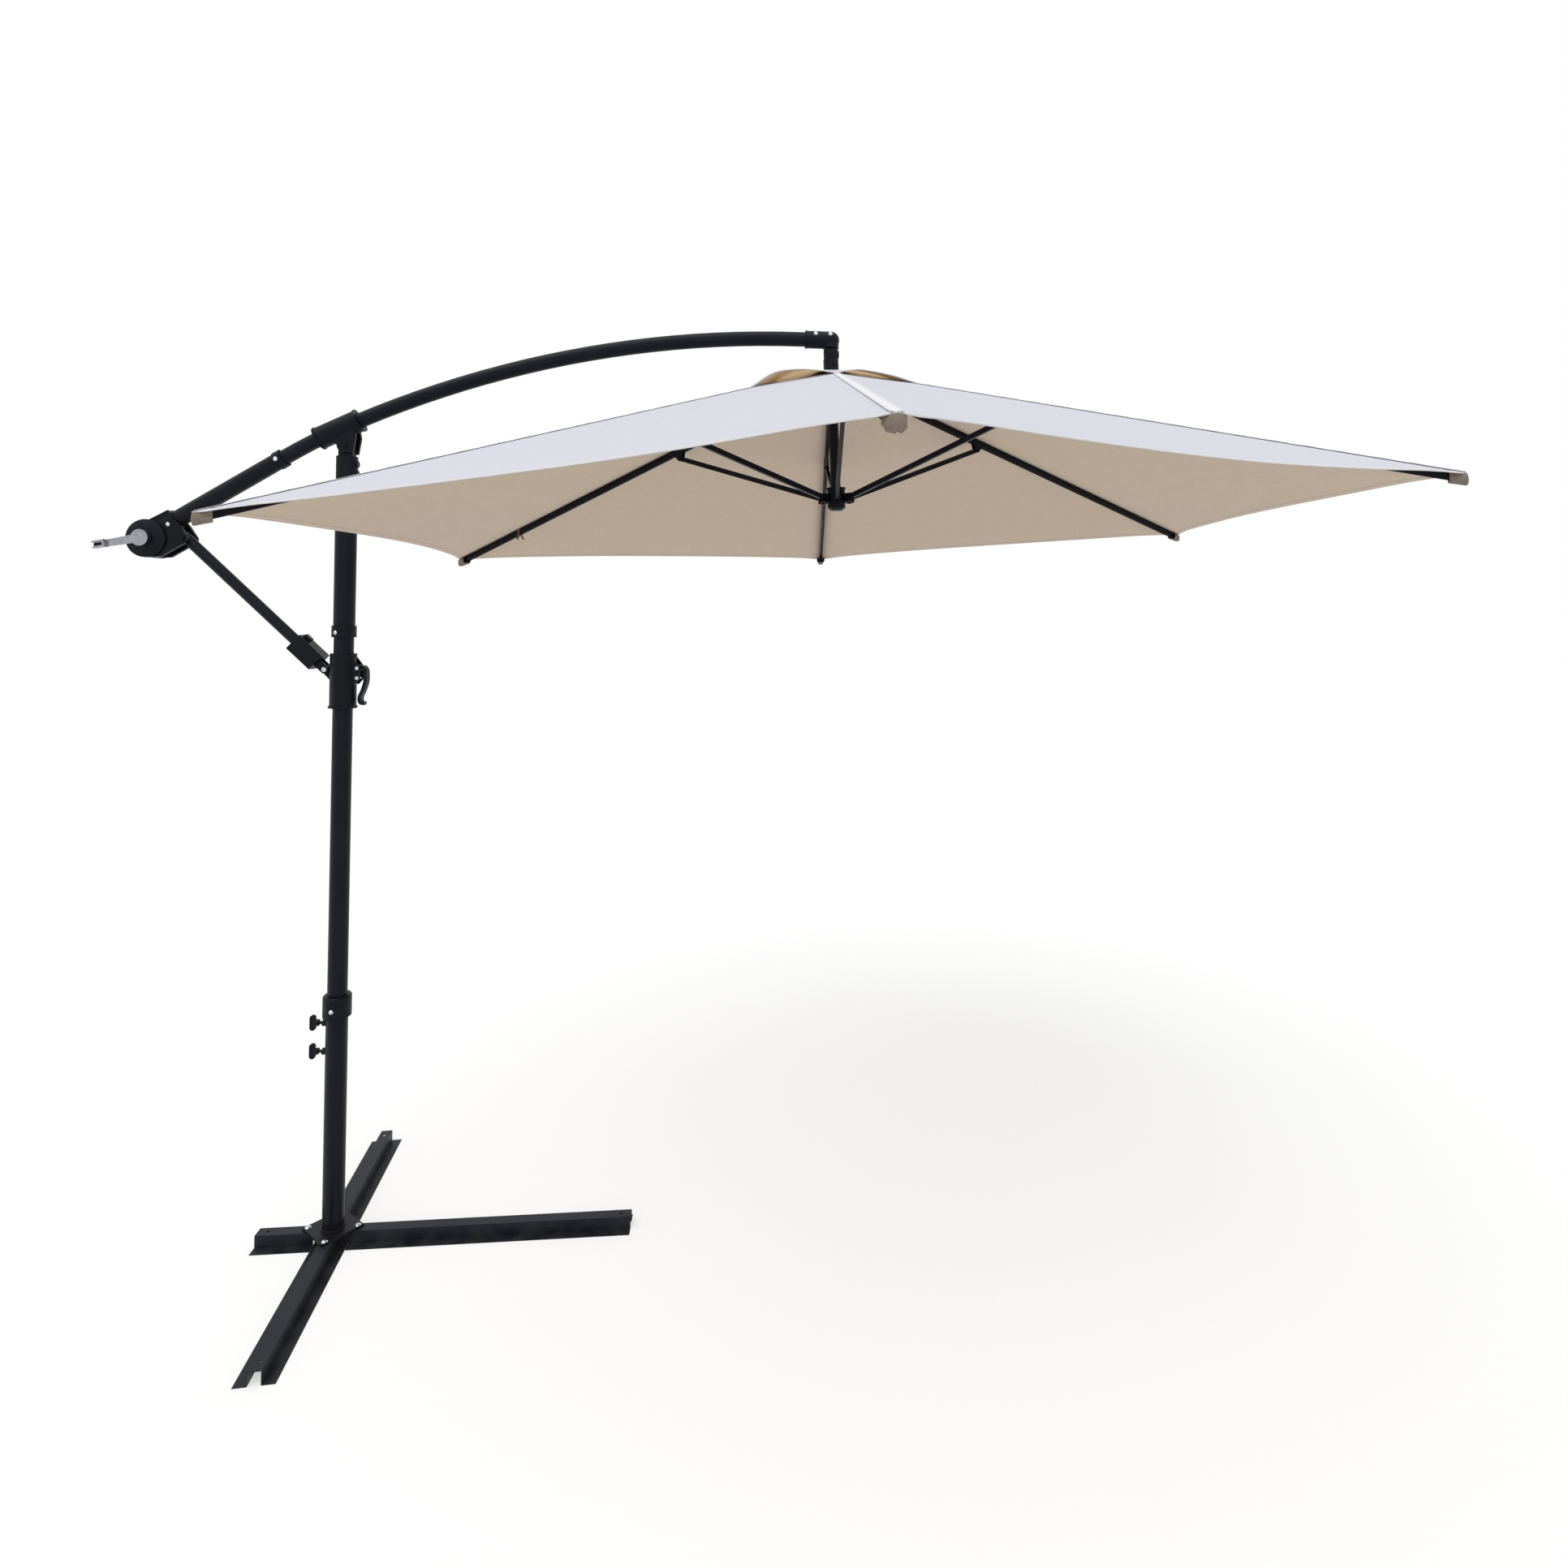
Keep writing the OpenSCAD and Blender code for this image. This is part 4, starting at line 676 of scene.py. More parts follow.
@dataclass
class ClothPlan:
    """Sizes of the canopy cloth and its vent cap, in the pole's own frame."""

    # The ribs' pins on the hub, their tips, and how far they drop between the two
    ring_r: float = 38 * MM
    hub_z: float = -69 * MM
    tip_r: float = 1.5
    drop: float = 0.432
    rib_w: float = 12 * MM
    rib_h: float = 18 * MM
    # The cover clears the ribs by this much, and its solid is thicker than the cloth
    gap: float = 0.8 * MM
    cad_thick: float = 1.6 * MM
    thick: float = 1.0 * MM
    # Edge of the vent, hole of the cap, and the cap's hem
    vent_r: float = 0.185
    cap_in_r: float = 23.5 * MM
    cap_r: float = 0.258
    # The hem curves in by this much between two ribs
    cut: float = 60 * MM
    # How far each panel hangs below its straight lines, from panel 1 to panel 6
    sags: tuple[float, ...] = (22 * MM, 14 * MM, 14 * MM, 14 * MM, 10 * MM, 18 * MM)
    # How far the cap's hem stands off between two ribs, and where, from panel 1 to panel 6
    arches: tuple[float, ...] = (18 * MM, 26 * MM, 24 * MM, 28 * MM, 26 * MM, 31 * MM)
    peaks: tuple[float, ...] = (0.35, 0.5, 0.45, 0.55, 0.5, 0.38)
    # Power of the arches' curve, and the height of a slight wave in the cap's hem
    arch_shape: float = 1.2
    cap_wave: float = 2 * MM
    # Slack waves in a panel: how many across, how many along, and their size in millimetres
    slack: tuple[tuple[float, float, float], ...] = ((1, 2.3, 2.2), (2, 1.6, 1.6), (3, 3.7, 0.8))
    # Pulls fan out from the rib tips: their size in millimetres, how many, and how far they reach
    pull_mm: float = 5.0
    pull_fan: float = 5.0
    pull_reach: float = 0.22
    # They start just past the hem, and a panel's width counts this much beside its length
    pull_start: float = 1.02
    pull_width: float = 1.5
    between: float = math.radians(RIB_STEP)

    @property
    def slope(self) -> float:
        """Slope of the ribs in radians."""
        return math.atan2(self.drop, self.tip_r - self.ring_r)

    @property
    def length(self) -> float:
        """Length of the cover along a rib."""
        return (self.tip_r - self.vent_r) / math.cos(self.slope)

    @property
    def cap_length(self) -> float:
        """Length of the vent cap along a rib."""
        return (self.cap_r - self.cap_in_r) / math.cos(self.slope)

    @property
    def rise(self) -> float:
        """Works out how far the cloth lies over the ribs.

        Returns:
            Plumb height of the cloth's middle over a rib's middle line.
        """
        bend = math.tan(self.between / 2) * math.tan(self.slope) + 4 * max(self.sags) / self.tip_r
        plumb = (self.rib_h / 2 + self.gap + self.cad_thick / 2) / math.cos(self.slope)
        return plumb + self.rib_w / 2 * bend

    def height(self, radius: float) -> float:
        """Gives the plumb height of the cloth over a rib.

        Args:
            radius: Distance from the pole's axis.

        Returns:
            The height in the pole's frame.
        """
        return self.hub_z - (radius - self.ring_r) * math.tan(self.slope) + self.rise

    def cover_point(self, panel: int, across: float, along: float) -> Vector:
        """Gives a point of the cover between two ribs.

        Args:
            panel: The number of the rib at the panel's first edge, which lies along +X.
            across: Share of the way from that rib to the next.
            along: 0 at the vent and 1 at the hem.

        Returns:
            The point in the first rib's frame.
        """
        radius = self.vent_r + along * (self.tip_r - self.vent_r)
        bow = 4 * across * (1 - across)
        cut = self.cut * bow * along * along
        x = radius * (1 - across + math.cos(self.between) * across) - math.cos(self.between / 2) * cut
        y = radius * math.sin(self.between) * across - math.sin(self.between / 2) * cut
        # The hem's cut lies in the panel, so it is as high as the panel is there
        z = self.height(radius - cut / math.cos(self.between / 2)) - self.sags[panel - 1] * bow * along
        return Vector((x, y, z + self.folds(panel, across, along)))

    def folds(self, panel: int, across: float, along: float) -> float:
        """Gives the stretched cloth's small folds: slack between the ribs and pulls from the tips.

        Args:
            panel: The panel's number, which seeds its folds.
            across: Share of the way between its ribs.
            along: 0 at the vent and 1 at the hem.

        Returns:
            A height in metres, 0 on the ribs.
        """
        dice = random.Random(panel * 7 + 3)
        held = math.sin(math.pi * across)
        total = 0.0
        for waves_across, waves_along, size in self.slack:
            phase = dice.uniform(0, 2 * math.pi)
            swing = math.sin(math.pi * waves_along * along + phase)
            total += size * math.sin(math.pi * waves_across * across) * swing
        pull = 0.0
        for side in (across, 1 - across):
            beside, inward = side * self.pull_width, self.pull_start - along
            near = math.exp(-math.hypot(beside, inward) / self.pull_reach)
            fan = self.pull_fan * math.atan2(beside, inward)
            pull += self.pull_mm * near * math.sin(fan + dice.uniform(0, 1))
        return (total * held * along + pull * min(1.0, held * 3)) * MM

    def cap_point(self, panel: int, across: float, along: float) -> Vector:
        """Gives a point of the vent cap between two ribs.

        Args:
            panel: The number of the rib at its first edge, which lies along +X.
            across: Share of the way from that rib to the next.
            along: 0 at the pole and 1 at the cap's hem.

        Returns:
            The point in the first rib's frame.
        """
        dice = random.Random(panel * 11 + 5)
        radius = self.cap_in_r + along * (self.cap_r - self.cap_in_r)
        x = radius * (1 - across + math.cos(self.between) * across)
        y = radius * math.sin(self.between) * across
        top = self.hub_z + self.rise + (self.ring_r - self.cap_in_r) * math.tan(self.slope)
        corner = self.height(self.cap_r) + self.cad_thick + self.gap
        peak = self.peaks[panel - 1]
        share = across / peak if across < peak else (1 - across) / (1 - peak)
        lifted = self.arches[panel - 1] * math.sin(math.pi / 2 * share) ** self.arch_shape
        phase = dice.uniform(0, 6)
        wave = self.cap_wave * math.sin(2 * math.pi * across + phase) * math.sin(math.pi * across)
        return Vector((x, y, top + along * (corner - top + lifted + wave)))


@dataclass(frozen=True)
class Layer:
    """How one layer of the canopy is cut and hemmed: the cover, or the cap over its vent."""

    panel: str
    hem: str
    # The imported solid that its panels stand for, and how its cloth is held
    solid: str
    held: str
    back: Finish
    hem_back: Finish
    cells: tuple[int, int]
    hem_cells: tuple[int, int]
    # A hem is folded twice, so it is thicker than the cloth, and it passes the cloth's edge a little
    hem_w: float
    hem_over: float
    hem_extra: float
    # Share of a half panel's width that is left when the canopy is closed
    keep: float
    # Share of its length at which its cloth starts
    start: float = 0.0


COVER = Layer(
    panel="canopy_panel",
    hem="canopy_hem",
    solid="canopy_cover",
    held="stretched",
    back=Finish.CLOTH_UNDER,
    hem_back=Finish.HEM_UNDER,
    cells=(26, 70),
    hem_cells=(3, 40),
    hem_w=22 * MM,
    hem_over=1.2 * MM,
    hem_extra=1.4 * MM,
    keep=0.085,
)
# The cap's cloth starts under the crown patch
CAP = Layer(
    panel="vent_cap",
    hem="vent_hem",
    solid="vent_cap",
    held="draped",
    back=Finish.CAP_UNDER,
    hem_back=Finish.HEM,
    cells=(14, 20),
    hem_cells=(2, 16),
    hem_w=14 * MM,
    hem_over=1.0 * MM,
    hem_extra=1.2 * MM,
    keep=0.16,
    start=0.13,
)


def half_name(kind: str, rib: int, side: int) -> str:
    """Names the piece of a kind that lies on one side of a rib."""
    return f"{kind}_{rib}{'a' if side > 0 else 'b'}"


def sew(piece: bpy.types.Object, rib: int) -> None:
    """Makes a piece of cloth ride on a rib."""
    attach(piece, f"rib_{rib}")


@dataclass
class SeamTape:
    """The tape that is sewn over each rib, from the vent to the tip."""

    frame: CanopyFrame
    plan: ClothPlan
    width: float = 18 * MM
    thick: float = 0.9 * MM
    # It starts this far out from the vent's edge and ends this far short of the tip
    inner_gap: float = 4 * MM
    outer_gap: float = 2 * MM
    # It lies this far over the cloth's middle, and puckers by this much and this many radians a metre
    lift: float = 1.1 * MM
    pucker: float = 0.25 * MM
    pucker_turn: float = 90.0

    def point(self, rib: int, across: float, along: float) -> Vector:
        """Gives a point of the tape.

        Args:
            rib: The rib's number.
            across: Share of the tape's width.
            along: 0 at the vent and 1 at the tip.

        Returns:
            The point in the object's frame.
        """
        plan = self.plan
        run = plan.tip_r - plan.vent_r
        radius = plan.vent_r + self.inner_gap + along * (run - self.inner_gap - self.outer_gap)
        y = (across - 0.5) * self.width
        share = abs(y) / (math.sin(plan.between) * radius)
        cloth = plan.cover_point(rib, share, (radius - plan.vent_r) / run)
        wave = self.pucker * math.sin(radius * self.pucker_turn)
        return self.frame.rib(rib) @ Vector((radius, y, cloth.z + self.lift + wave))

    def make(self, rib: int) -> None:
        """Makes the tape over one rib.

        Args:
            rib: The rib's number.
        """
        cut = Cut(self.width, self.plan.length, (4, 90), self.thick, Finish.TAPE, Finish.TAPE)
        tape = cut.lay(f"seam_tape_{rib}", partial(self.point, rib), self.frame.up)
        sew(tape, rib)


@dataclass
class TipPocket:
    """The cloth pocket that takes each rib's tip: a pleated sleeve, wider at its mouth."""

    frame: CanopyFrame
    plan: ClothPlan
    length: float = 36 * MM
    thick: float = 0.9 * MM
    # Cloth round the rib, for the weave, and how far the sleeve passes the rib's end
    cloth_w: float = 90 * MM
    over: float = 3 * MM
    # Half of its width at the outer end, and how much wider it is at its mouth
    half: float = 8.5 * MM
    flare: float = 8 * MM
    pleats: int = 7
    pleat: float = 0.06
    # The outer share of its length is drawn together round the rib's plug
    drawn: float = 0.12
    # Its top lies this far under the cover's middle, and its sides slope down from there
    under: float = 1.3 * MM
    side_slope: float = 0.3
    # Its lower side hangs this far under the rib, in two small lobes
    slack: float = 1.4 * MM
    lobe: float = 4.5 * MM

    def point(self, rib: int, around: float, along: float) -> Vector:
        """Gives a point of the sleeve.

        Args:
            rib: The rib's number.
            around: Share of a turn round the rib, from its top.
            along: 0 at the mouth and 1 at the outer end.

        Returns:
            The point in the object's frame.
        """
        plan = self.plan
        angle = 2 * math.pi * around
        radius = plan.tip_r + self.over - self.length * (1 - along)
        pleat = 1 + self.pleat * (1 - 0.6 * along) * math.sin(self.pleats * angle)
        narrow = max(0.0, (along - 1 + self.drawn) / self.drawn)
        closed = math.sqrt(max(0.0, 1 - narrow**2))
        lobes = abs(math.sin(2 * angle)) ** 0.7
        half = (self.half + self.flare * (1 - along) ** 0.7) * pleat * closed
        top = (plan.rise - self.under) * closed
        low = (plan.rib_h / 2 + self.slack + self.lobe * lobes) * pleat * closed
        y = half * math.sin(angle)
        lift = math.cos(angle)
        z = top * (1 - (1 - lift) ** 3) if lift > 0 else low * lift * (1 - 0.25 * (1 + lift))
        rib_z = plan.height(radius) - plan.rise
        return self.frame.rib(rib) @ Vector((radius, y, rib_z + z - self.side_slope * abs(y)))

    def make(self, rib: int) -> None:
        """Makes the pocket on one rib.

        Args:
            rib: The rib's number.
        """
        cut = Cut(self.cloth_w, self.length, (36, 24), self.thick, Finish.POCKET, Finish.POCKET)
        pocket = cut.lay(f"tip_pocket_{rib}", partial(self.point, rib), self.frame.up)
        sew(pocket, rib)


@dataclass
class RibTie:
    """The tie that goes round the closed cover: a loop on one rib with two short tails."""

    frame: CanopyFrame
    plan: ClothPlan
    # The rib that carries it, and how far out it sits
    rib: int = 5
    radius: float = 1.21
    width: float = 10 * MM
    length: float = 64 * MM
    thick: float = 0.7 * MM
    # Cloth round the rib, for the weave
    cloth_w: float = 60 * MM
    # How far the loop stands off the rib's sides, and off its top and bottom
    side_gap: float = 1.2 * MM
    face_gap: float = 1.0 * MM
    # The tails hang from a knot this far under the loop
    knot: float = 1.2 * MM
    tail_w: float = 8 * MM
    tail_len: float = 14 * MM
    # They start this far along and beside the rib, and lean out by this much
    tail_start: tuple[float, float] = (2 * MM, 3 * MM)
    tail_lean: tuple[float, float] = (6 * MM, 5 * MM)

    @property
    def half_w(self) -> float:
        """Half of the loop's width round the rib."""
        return self.plan.rib_w / 2 + self.side_gap

    @property
    def half_h(self) -> float:
        """Half of the loop's height round the rib."""
        return self.plan.rib_h / 2 + self.face_gap

    @property
    def axis_z(self) -> float:
        """Height of the rib's middle line at the tie, in the pole's frame."""
        return self.plan.height(self.radius) - self.plan.rise

    def loop(self, around: float, along: float) -> Vector:
        """Gives a point of the loop.

        Args:
            around: Share of a turn round the rib, from its top.
            along: Share of the tie's width.

        Returns:
            The point in the object's frame.
        """
        slope = self.plan.slope
        angle = 2 * math.pi * around
        corner = max(abs(math.cos(angle)), abs(math.sin(angle)))
        y = self.half_w * math.sin(angle) / corner
        z = self.half_h * math.cos(angle) / corner
        x = (along - 0.5) * self.width - z * math.sin(slope)
        point = Vector((self.radius + x, y, self.axis_z - x * math.tan(slope) + z))
        return self.frame.rib(self.rib) @ point

    def tail(self, side: int, across: float, along: float) -> Vector:
        """Gives a point of a tail, which hangs and swings a little outwards.

        Args:
            side: 1 or -1, the side of the rib on which it hangs.
            across: Share of the tail's width.
            along: 0 at the knot and 1 at the end.

        Returns:
            The point in the object's frame.
        """
        x = side * (self.tail_start[0] + self.tail_lean[0] * along) + (across - 0.5) * self.tail_w
        y = side * (self.tail_start[1] + self.tail_lean[1] * along * (1.6 - along))
        z = self.axis_z - self.half_h - self.knot - self.tail_len * along
        return self.frame.rib(self.rib) @ Vector((self.radius + x, y, z))

    def make(self) -> None:
        """Makes the loop and its tails."""
        cut = Cut(self.cloth_w, self.width, (32, 2), self.thick, Finish.TIE, Finish.TIE)
        band = cut.lay(f"rib_tie_{self.rib}", self.loop, self.frame.up)
        tails = []
        for side in (-1, 1):
            cut = Cut(self.tail_w, self.tail_len, (2, 10), self.thick, Finish.TIE, Finish.TIE)
            name = f"rib_tie_{self.rib}_tail_{'a' if side > 0 else 'b'}"
            tails.append(cut.lay(name, partial(self.tail, side), Vector((0.0, 1.0, 0.0))))
        for piece in (band, *tails):
            sew(piece, self.rib)


@dataclass
class Canopy:
    """The cloth cover and its vent cap, with all that is sewn on them."""

    frame: CanopyFrame
    plan: ClothPlan
    # A closed half panel folds towards a line this far beside its rib
    side_clear: float = 8 * MM
    # Share of the cap's length that the crown patch covers, and how far it lies over the cap
    crown_end: float = 0.2
    crown_lift: float = 1.3 * MM
    # Cloth round the patch and from its hole to its edge, for the weave
    crown_cloth: tuple[float, float] = (0.3, 0.05)

    def half_place(self, rib: int, side: int, point: Callable[[int, float, float], Vector]) -> Place:
        """Gives the surface of the half panel beside a rib.

        Args:
            rib: The rib's number.
            side: 1 for the half towards the next rib, -1 for the other.
            point: The cover's or the cap's surface.

        Returns:
            A surface from the rib to the panel's middle.
        """
        pose = self.frame.rib(rib)
        back = Matrix.Rotation(-self.plan.between, 4, "Z")

        def place(across: float, along: float) -> Vector:
            """Gives the point for a share of the half panel and a share of its length."""
            if side > 0:
                return pose @ point(rib, across / 2, along)
            return pose @ (back @ point(rib - 1 if rib > 1 else RIBS, 1 - across / 2, along))

        return place

    def squash(self, piece: bpy.types.Object, rib: int, keep: float) -> None:
        """Lets a half panel ride on its rib, on a mesh of its own.

        Args:
            piece: The cloth.
            rib: The rib's number.
            keep: Share of its width that is left when the canopy is closed; not used.
        """
        pose = self.frame.rib(rib)
        sew(piece, rib)
        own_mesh(piece)

    def hem_place(self, surface: Place, length: float, width: float, over: float) -> Place:
        """Gives the band along the outer edge of a surface.

        Args:
            surface: The cloth's surface.
            length: Length of the cloth from its inner to its outer edge.
            width: Width of the band.
            over: How far it passes the cloth's edge.

        Returns:
            The band's surface, from its inner edge outwards.
        """

        def place(across: float, along: float) -> Vector:
            """Gives the point for a share of the band's width and a share of its length."""
            return surface(along, 1 + (over - (1 - across) * width) / length)

        return place

    def make_half(self, layer: Layer, rib: int, side: int) -> None:
        """Makes half a panel of a layer with its hem.

        Args:
            layer: The cover or the vent cap.
            rib: The rib's number.
            side: 1 or -1, the side on which it lies.
        """
        plan = self.plan
        if layer is COVER:
            point, width, length = plan.cover_point, plan.tip_r / 2, plan.length
        else:
            point, width, length = plan.cap_point, plan.cap_r / 2, plan.cap_length
        surface = self.half_place(rib, side, point)

        def cloth_place(across: float, along: float) -> Vector:
            """Gives the same surface from where the cloth starts."""
            return surface(across, layer.start + along * (1 - layer.start))

        cut = Cut(width, length, layer.cells, plan.thick, Finish.CLOTH_TOP, layer.back)
        cloth = cut.lay(half_name(layer.panel, rib, side), cloth_place, self.frame.up)
        edge = self.hem_place(surface, length, layer.hem_w, layer.hem_over)
        thick = plan.thick + layer.hem_extra
        cut = Cut(layer.hem_w, width, layer.hem_cells, thick, Finish.HEM, layer.hem_back)
        hem = cut.lay(half_name(layer.hem, rib, side), edge, self.frame.up)
        self.squash(cloth, rib, layer.keep)
        self.squash(hem, rib, layer.keep)
        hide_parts(layer.solid)
        flat, rests = (width, length), [f"rib_{rib}"]
        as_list(rests)

    def crown_point(self, around: float, along: float) -> Vector:
        """Gives a point of the crown patch.

        Args:
            around: Share of a turn round the pole, from the first rib.
            along: 0 at the pole and 1 at the patch's edge.

        Returns:
            The point in the object's frame.
        """
        panel = min(int(around * RIBS), RIBS - 1)
        point = self.plan.cap_point(panel + 1, around * RIBS - panel, along * self.crown_end)
        point.z += self.crown_lift
        return self.frame.rib(panel + 1) @ point

    def make_crown(self) -> None:
        """Makes the round patch that closes the cap round the pole."""
        cut = Cut(*self.crown_cloth, (72, 8), self.plan.thick, Finish.HEM, Finish.CAP_UNDER)
        crown = cut.lay("cap_crown", self.crown_point, self.frame.up)
        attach(crown, "canopy")

    def make(self) -> None:
        """Makes the whole cloth."""
        tape = SeamTape(self.frame, self.plan)
        pocket = TipPocket(self.frame, self.plan)
        for rib in range(1, RIBS + 1):
            for side in (1, -1):
                self.make_half(COVER, rib, side)
                self.make_half(CAP, rib, side)
            tape.make(rib)
            pocket.make(rib)
        RibTie(self.frame, self.plan).make()
        self.make_crown()


@dataclass
class LiftRope:
    """The rope that lifts the runner, from the pulley down inside the pole."""

    frame: CanopyFrame
    # The corners of the rope's box
    low: Vector
    high: Vector
    # How far it runs beside the pole's axis, and where it ends inside that box
    off: float = 9.5 * MM
    low_end: float = 6 * MM
    high_end: float = 2 * MM
    radius: float = 2.0 * MM
    sides: int = 12
    steps: int = 40

    def make(self) -> None:
        """Makes the rope, which stretches between the pulley and the runner."""
        inverse = self.frame.pose.inverted()
        bottom = (inverse @ self.low).z + self.low_end
        top = (inverse @ self.high).z - self.high_end
        length = top - bottom
        points = [Vector((self.off, 0.0, top - length * i / self.steps)) for i in range(self.steps + 1)]
        path = [self.frame.pose @ point for point in points]
        bm = bmesh.new()
        bmesh.ops.create_cone(
            bm,
            cap_ends=True,
            segments=self.sides,
            radius1=self.radius,
            radius2=self.radius,
            depth=length,
        )
        upright = [e for e in bm.edges if abs(e.verts[0].co.z - e.verts[1].co.z) > length / 2]
        bmesh.ops.subdivide_edges(bm, edges=upright, cuts=self.steps - 1)
        middle = self.frame.pose @ Matrix.Translation((self.off, 0.0, (top + bottom) / 2))
        bmesh.ops.transform(bm, matrix=middle, verts=bm.verts)
        rope = mesh_piece("lift_rope", bm, [Finish.ROPE])
        tuple(path[0])
        tuple(path[-1])
        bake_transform(rope)
        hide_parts("rope_drop")
        tuple(path[0])
        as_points(path)


@dataclass
class HardParts:
    """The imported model's own parts, with their finishes."""

    nodes: dict[str, bpy.types.Object]
    subparts: list[dict[str, Any]]

    def dress(self) -> None:
        """Gives every part its finish."""
        for row in self.subparts:
            name = row["node"]
            finish = NODE_FINISH.get(name, SLOT_FINISH[row["material_slot"]])
            for place in self.nodes[name].material_slots:
                place.material = finish.material()
            LOG.info("%s: %s", name, finish.value.name)


@dataclass
class WeldBead:
    """The rippled weld bead that joins the stand's post to its plate."""

    post_r: float = 27.5 * MM
    plate_top: float = 40 * MM
    radius: float = 3.0 * MM
    # Its middle lies this far out of the corner, and its surface ripples by this share
    off: float = 0.8 * MM
    ripples: int = 34
    ripple: float = 0.012
    sides: int = 10
    steps: int = 120

    def make(self) -> None:
        """Makes the bead."""
        bm = bmesh.new()
        bmesh.ops.create_circle(bm, segments=self.sides, radius=self.radius)
        upright = Matrix.Rotation(math.pi / 2, 3, "X")
        bmesh.ops.rotate(bm, cent=(0, 0, 0), matrix=upright, verts=bm.verts)
        corner = (self.post_r + self.off, 0.0, self.plate_top + self.off)
        bmesh.ops.translate(bm, vec=corner, verts=bm.verts)
        bmesh.ops.spin(
            bm,
            geom=bm.verts[:] + bm.edges[:],
            axis=(0, 0, 1),
            cent=(0, 0, 0),
            angle=2 * math.pi,
            steps=self.steps,
            use_merge=True,
        )
        bmesh.ops.remove_doubles(bm, verts=bm.verts, dist=0.001 * MM)
        for vert in bm.verts:
            swell = 1 + self.ripple * math.sin(self.ripples * math.atan2(vert.co.y, vert.co.x))
            vert.co.x *= swell
            vert.co.y *= swell
        bmesh.ops.recalc_face_normals(bm, faces=bm.faces)
        bead = mesh_piece("post_weld_bead", bm, [Finish.FRAME])
        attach(bead, "stand")


@dataclass(frozen=True)
class Lamp:
    """A soft distant lamp: where it shines, its watts a square metre and its spread in degrees."""

    name: str
    towards: tuple[float, float, float]
    strength: float
    spread: float

    def hang(self) -> None:
        """Adds the lamp to the scene."""
        data = bpy.data.lights.new(self.name, "SUN")
        data.energy = self.strength
        data.angle = math.radians(self.spread)
        light = bpy.data.objects.new(self.name, data)
        light.rotation_mode = "QUATERNION"
        light.rotation_quaternion = Vector(self.towards).to_track_quat("-Z", "Y")
        bpy.context.scene.collection.objects.link(light)


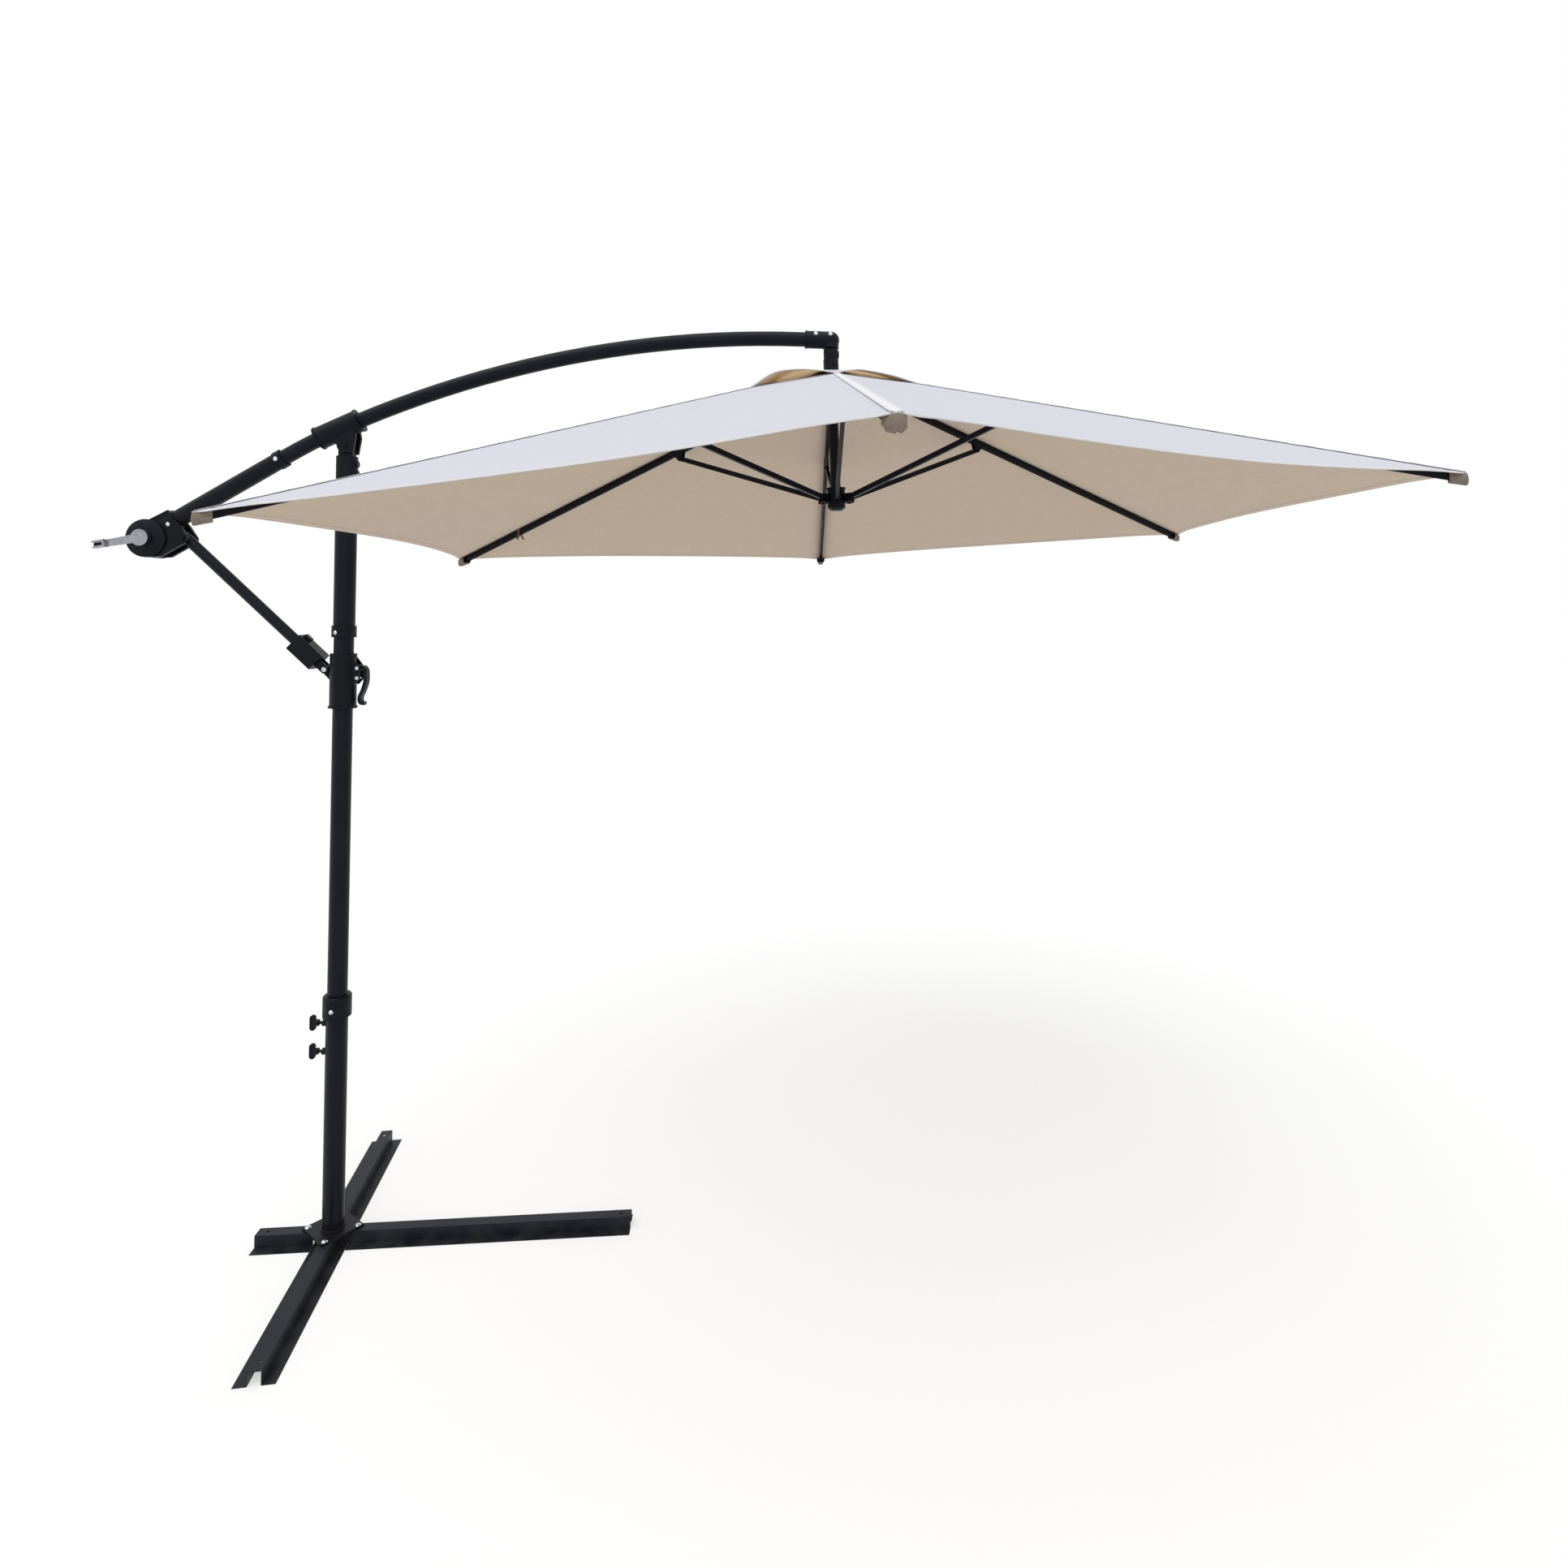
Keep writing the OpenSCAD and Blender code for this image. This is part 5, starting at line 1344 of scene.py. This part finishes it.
@dataclass
class Studio:
    """Camera, lights, floor and background."""

    sensor_mm: float = 36.0
    focal_mm: float = 21.685
    place: tuple[float, float, float] = (1.2195, -2.6684, 1.7342)
    shift: tuple[float, float] = (-0.0405, -0.1062)
    # Turned to the right and rolled, in radians
    heading: float = 0.0607
    roll: float = 0.0185
    lamps: tuple[Lamp, ...] = (
        Lamp("key", (0.35, 0.45, -1.0), 1.15, 50),
        Lamp("fill", (-0.4, 0.9, -0.35), 0.35, 60),
    )
    # How brightly the world lights the object, and how bright it looks
    world_light: float = 0.62
    world_seen: float = 1.0
    floor_size: float = 30.0
    # The floor's colour where it lights the object and where it is seen, and its glow there
    floor_lit: str = "#e4e4e4"
    floor_seen: str = "#b6b6b6"
    floor_glow: float = 0.58

    def camera(self) -> None:
        """Sets the camera at the viewing angle."""
        data = bpy.data.cameras.new("camera")
        data.sensor_width = self.sensor_mm
        data.lens = self.focal_mm
        data.shift_x, data.shift_y = self.shift
        data.clip_start, data.clip_end = 0.05, 100.0
        ahead = Vector((math.sin(self.heading), math.cos(self.heading), 0.0))
        level = Vector((math.cos(self.heading), -math.sin(self.heading), 0.0))
        plumb = Vector((0.0, 0.0, 1.0))
        right = level * math.cos(self.roll) + plumb * math.sin(self.roll)
        above = plumb * math.cos(self.roll) - level * math.sin(self.roll)
        camera = bpy.data.objects.new("camera", data)
        turn = Matrix((right, above, -ahead)).transposed().to_4x4()
        camera.matrix_world = Matrix.Translation(Vector(self.place)) @ turn
        bpy.context.scene.collection.objects.link(camera)
        bpy.context.scene.camera = camera

    def seen(self, node: Callable[..., Socket]) -> Socket:
        """Tells rays that show a surface from rays that only light one.

        Args:
            node: add_node for a material's or the world's tree.

        Returns:
            1 for camera, glossy and transmission rays, and 0 for the rest.
        """
        camera = node("LightPath", out="Is Camera Ray")
        glossy = node("LightPath", out="Is Glossy Ray")
        through = node("LightPath", out="Is Transmission Ray")
        either = node("Math", {0: camera, 1: glossy}, operation="MAXIMUM")
        return node("Math", {0: either, 1: through}, operation="MAXIMUM")

    def world(self) -> None:
        """Makes the plain background, white where it is seen and level where it lights."""
        world = bpy.data.worlds.new("studio")
        bpy.context.scene.world = world
        world.use_nodes = True
        world.node_tree.nodes.clear()
        node = partial(add_node, world.node_tree)
        levels = {"To Min": self.world_light, "To Max": self.world_seen}
        strength = node("MapRange", {"Value": self.seen(node), **levels})
        back = node("Background", {"Color": (1.0, 1.0, 1.0, 1.0), "Strength": strength})
        node("OutputWorld", {"Surface": back})

    def floor(self) -> None:
        """Makes the pale floor, which keeps the object's shadow."""
        bm = bmesh.new()
        bmesh.ops.create_grid(bm, x_segments=1, y_segments=1, size=self.floor_size)
        mesh = bpy.data.meshes.new("floor")
        bm.to_mesh(mesh)
        bm.free()
        material, node = empty_material("Studio floor, white")
        seen = self.seen(node)
        colours = {
            "Factor_Float": seen,
            "A_Color": linear(self.floor_lit),
            "B_Color": linear(self.floor_seen),
        }
        shader = {
            "Base Color": node("Mix", colours, "Result_Color", data_type="RGBA"),
            "Roughness": 0.9,
            "Specular IOR Level": 0.0,
            "Emission Color": (1.0, 1.0, 1.0, 1.0),
            "Emission Strength": node("MapRange", {"Value": seen, "To Max": self.floor_glow}),
        }
        node("OutputMaterial", {"Surface": node("BsdfPrincipled", shader)})
        mesh.materials.append(material)
        floor = bpy.data.objects.new("floor", mesh)
        bpy.context.scene.collection.objects.link(floor)

    def set_up(self) -> None:
        """Sets up the whole studio."""
        bpy.context.scene.view_settings.view_transform = "Standard"
        self.camera()
        self.world()
        for lamp in self.lamps:
            lamp.hang()
        self.floor()
        LOG.info("camera, lamps and floor")


def main() -> None:
    """Builds the scene."""
    logging.basicConfig(level=logging.INFO, format="%(name)s: %(message)s")
    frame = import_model()
    joints = {joint["name"]: joint for joint in frame["joints"]}
    Studio().set_up()
    canopy_frame = CanopyFrame(joints)
    low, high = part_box("rope_drop")
    LiftRope(canopy_frame, Vector(low), Vector(high)).make()
    HardParts(frame["nodes"], frame["record"]["subparts"]).dress()
    Canopy(canopy_frame, ClothPlan()).make()
    WeldBead().make()


if __name__ == "__main__":
    main()
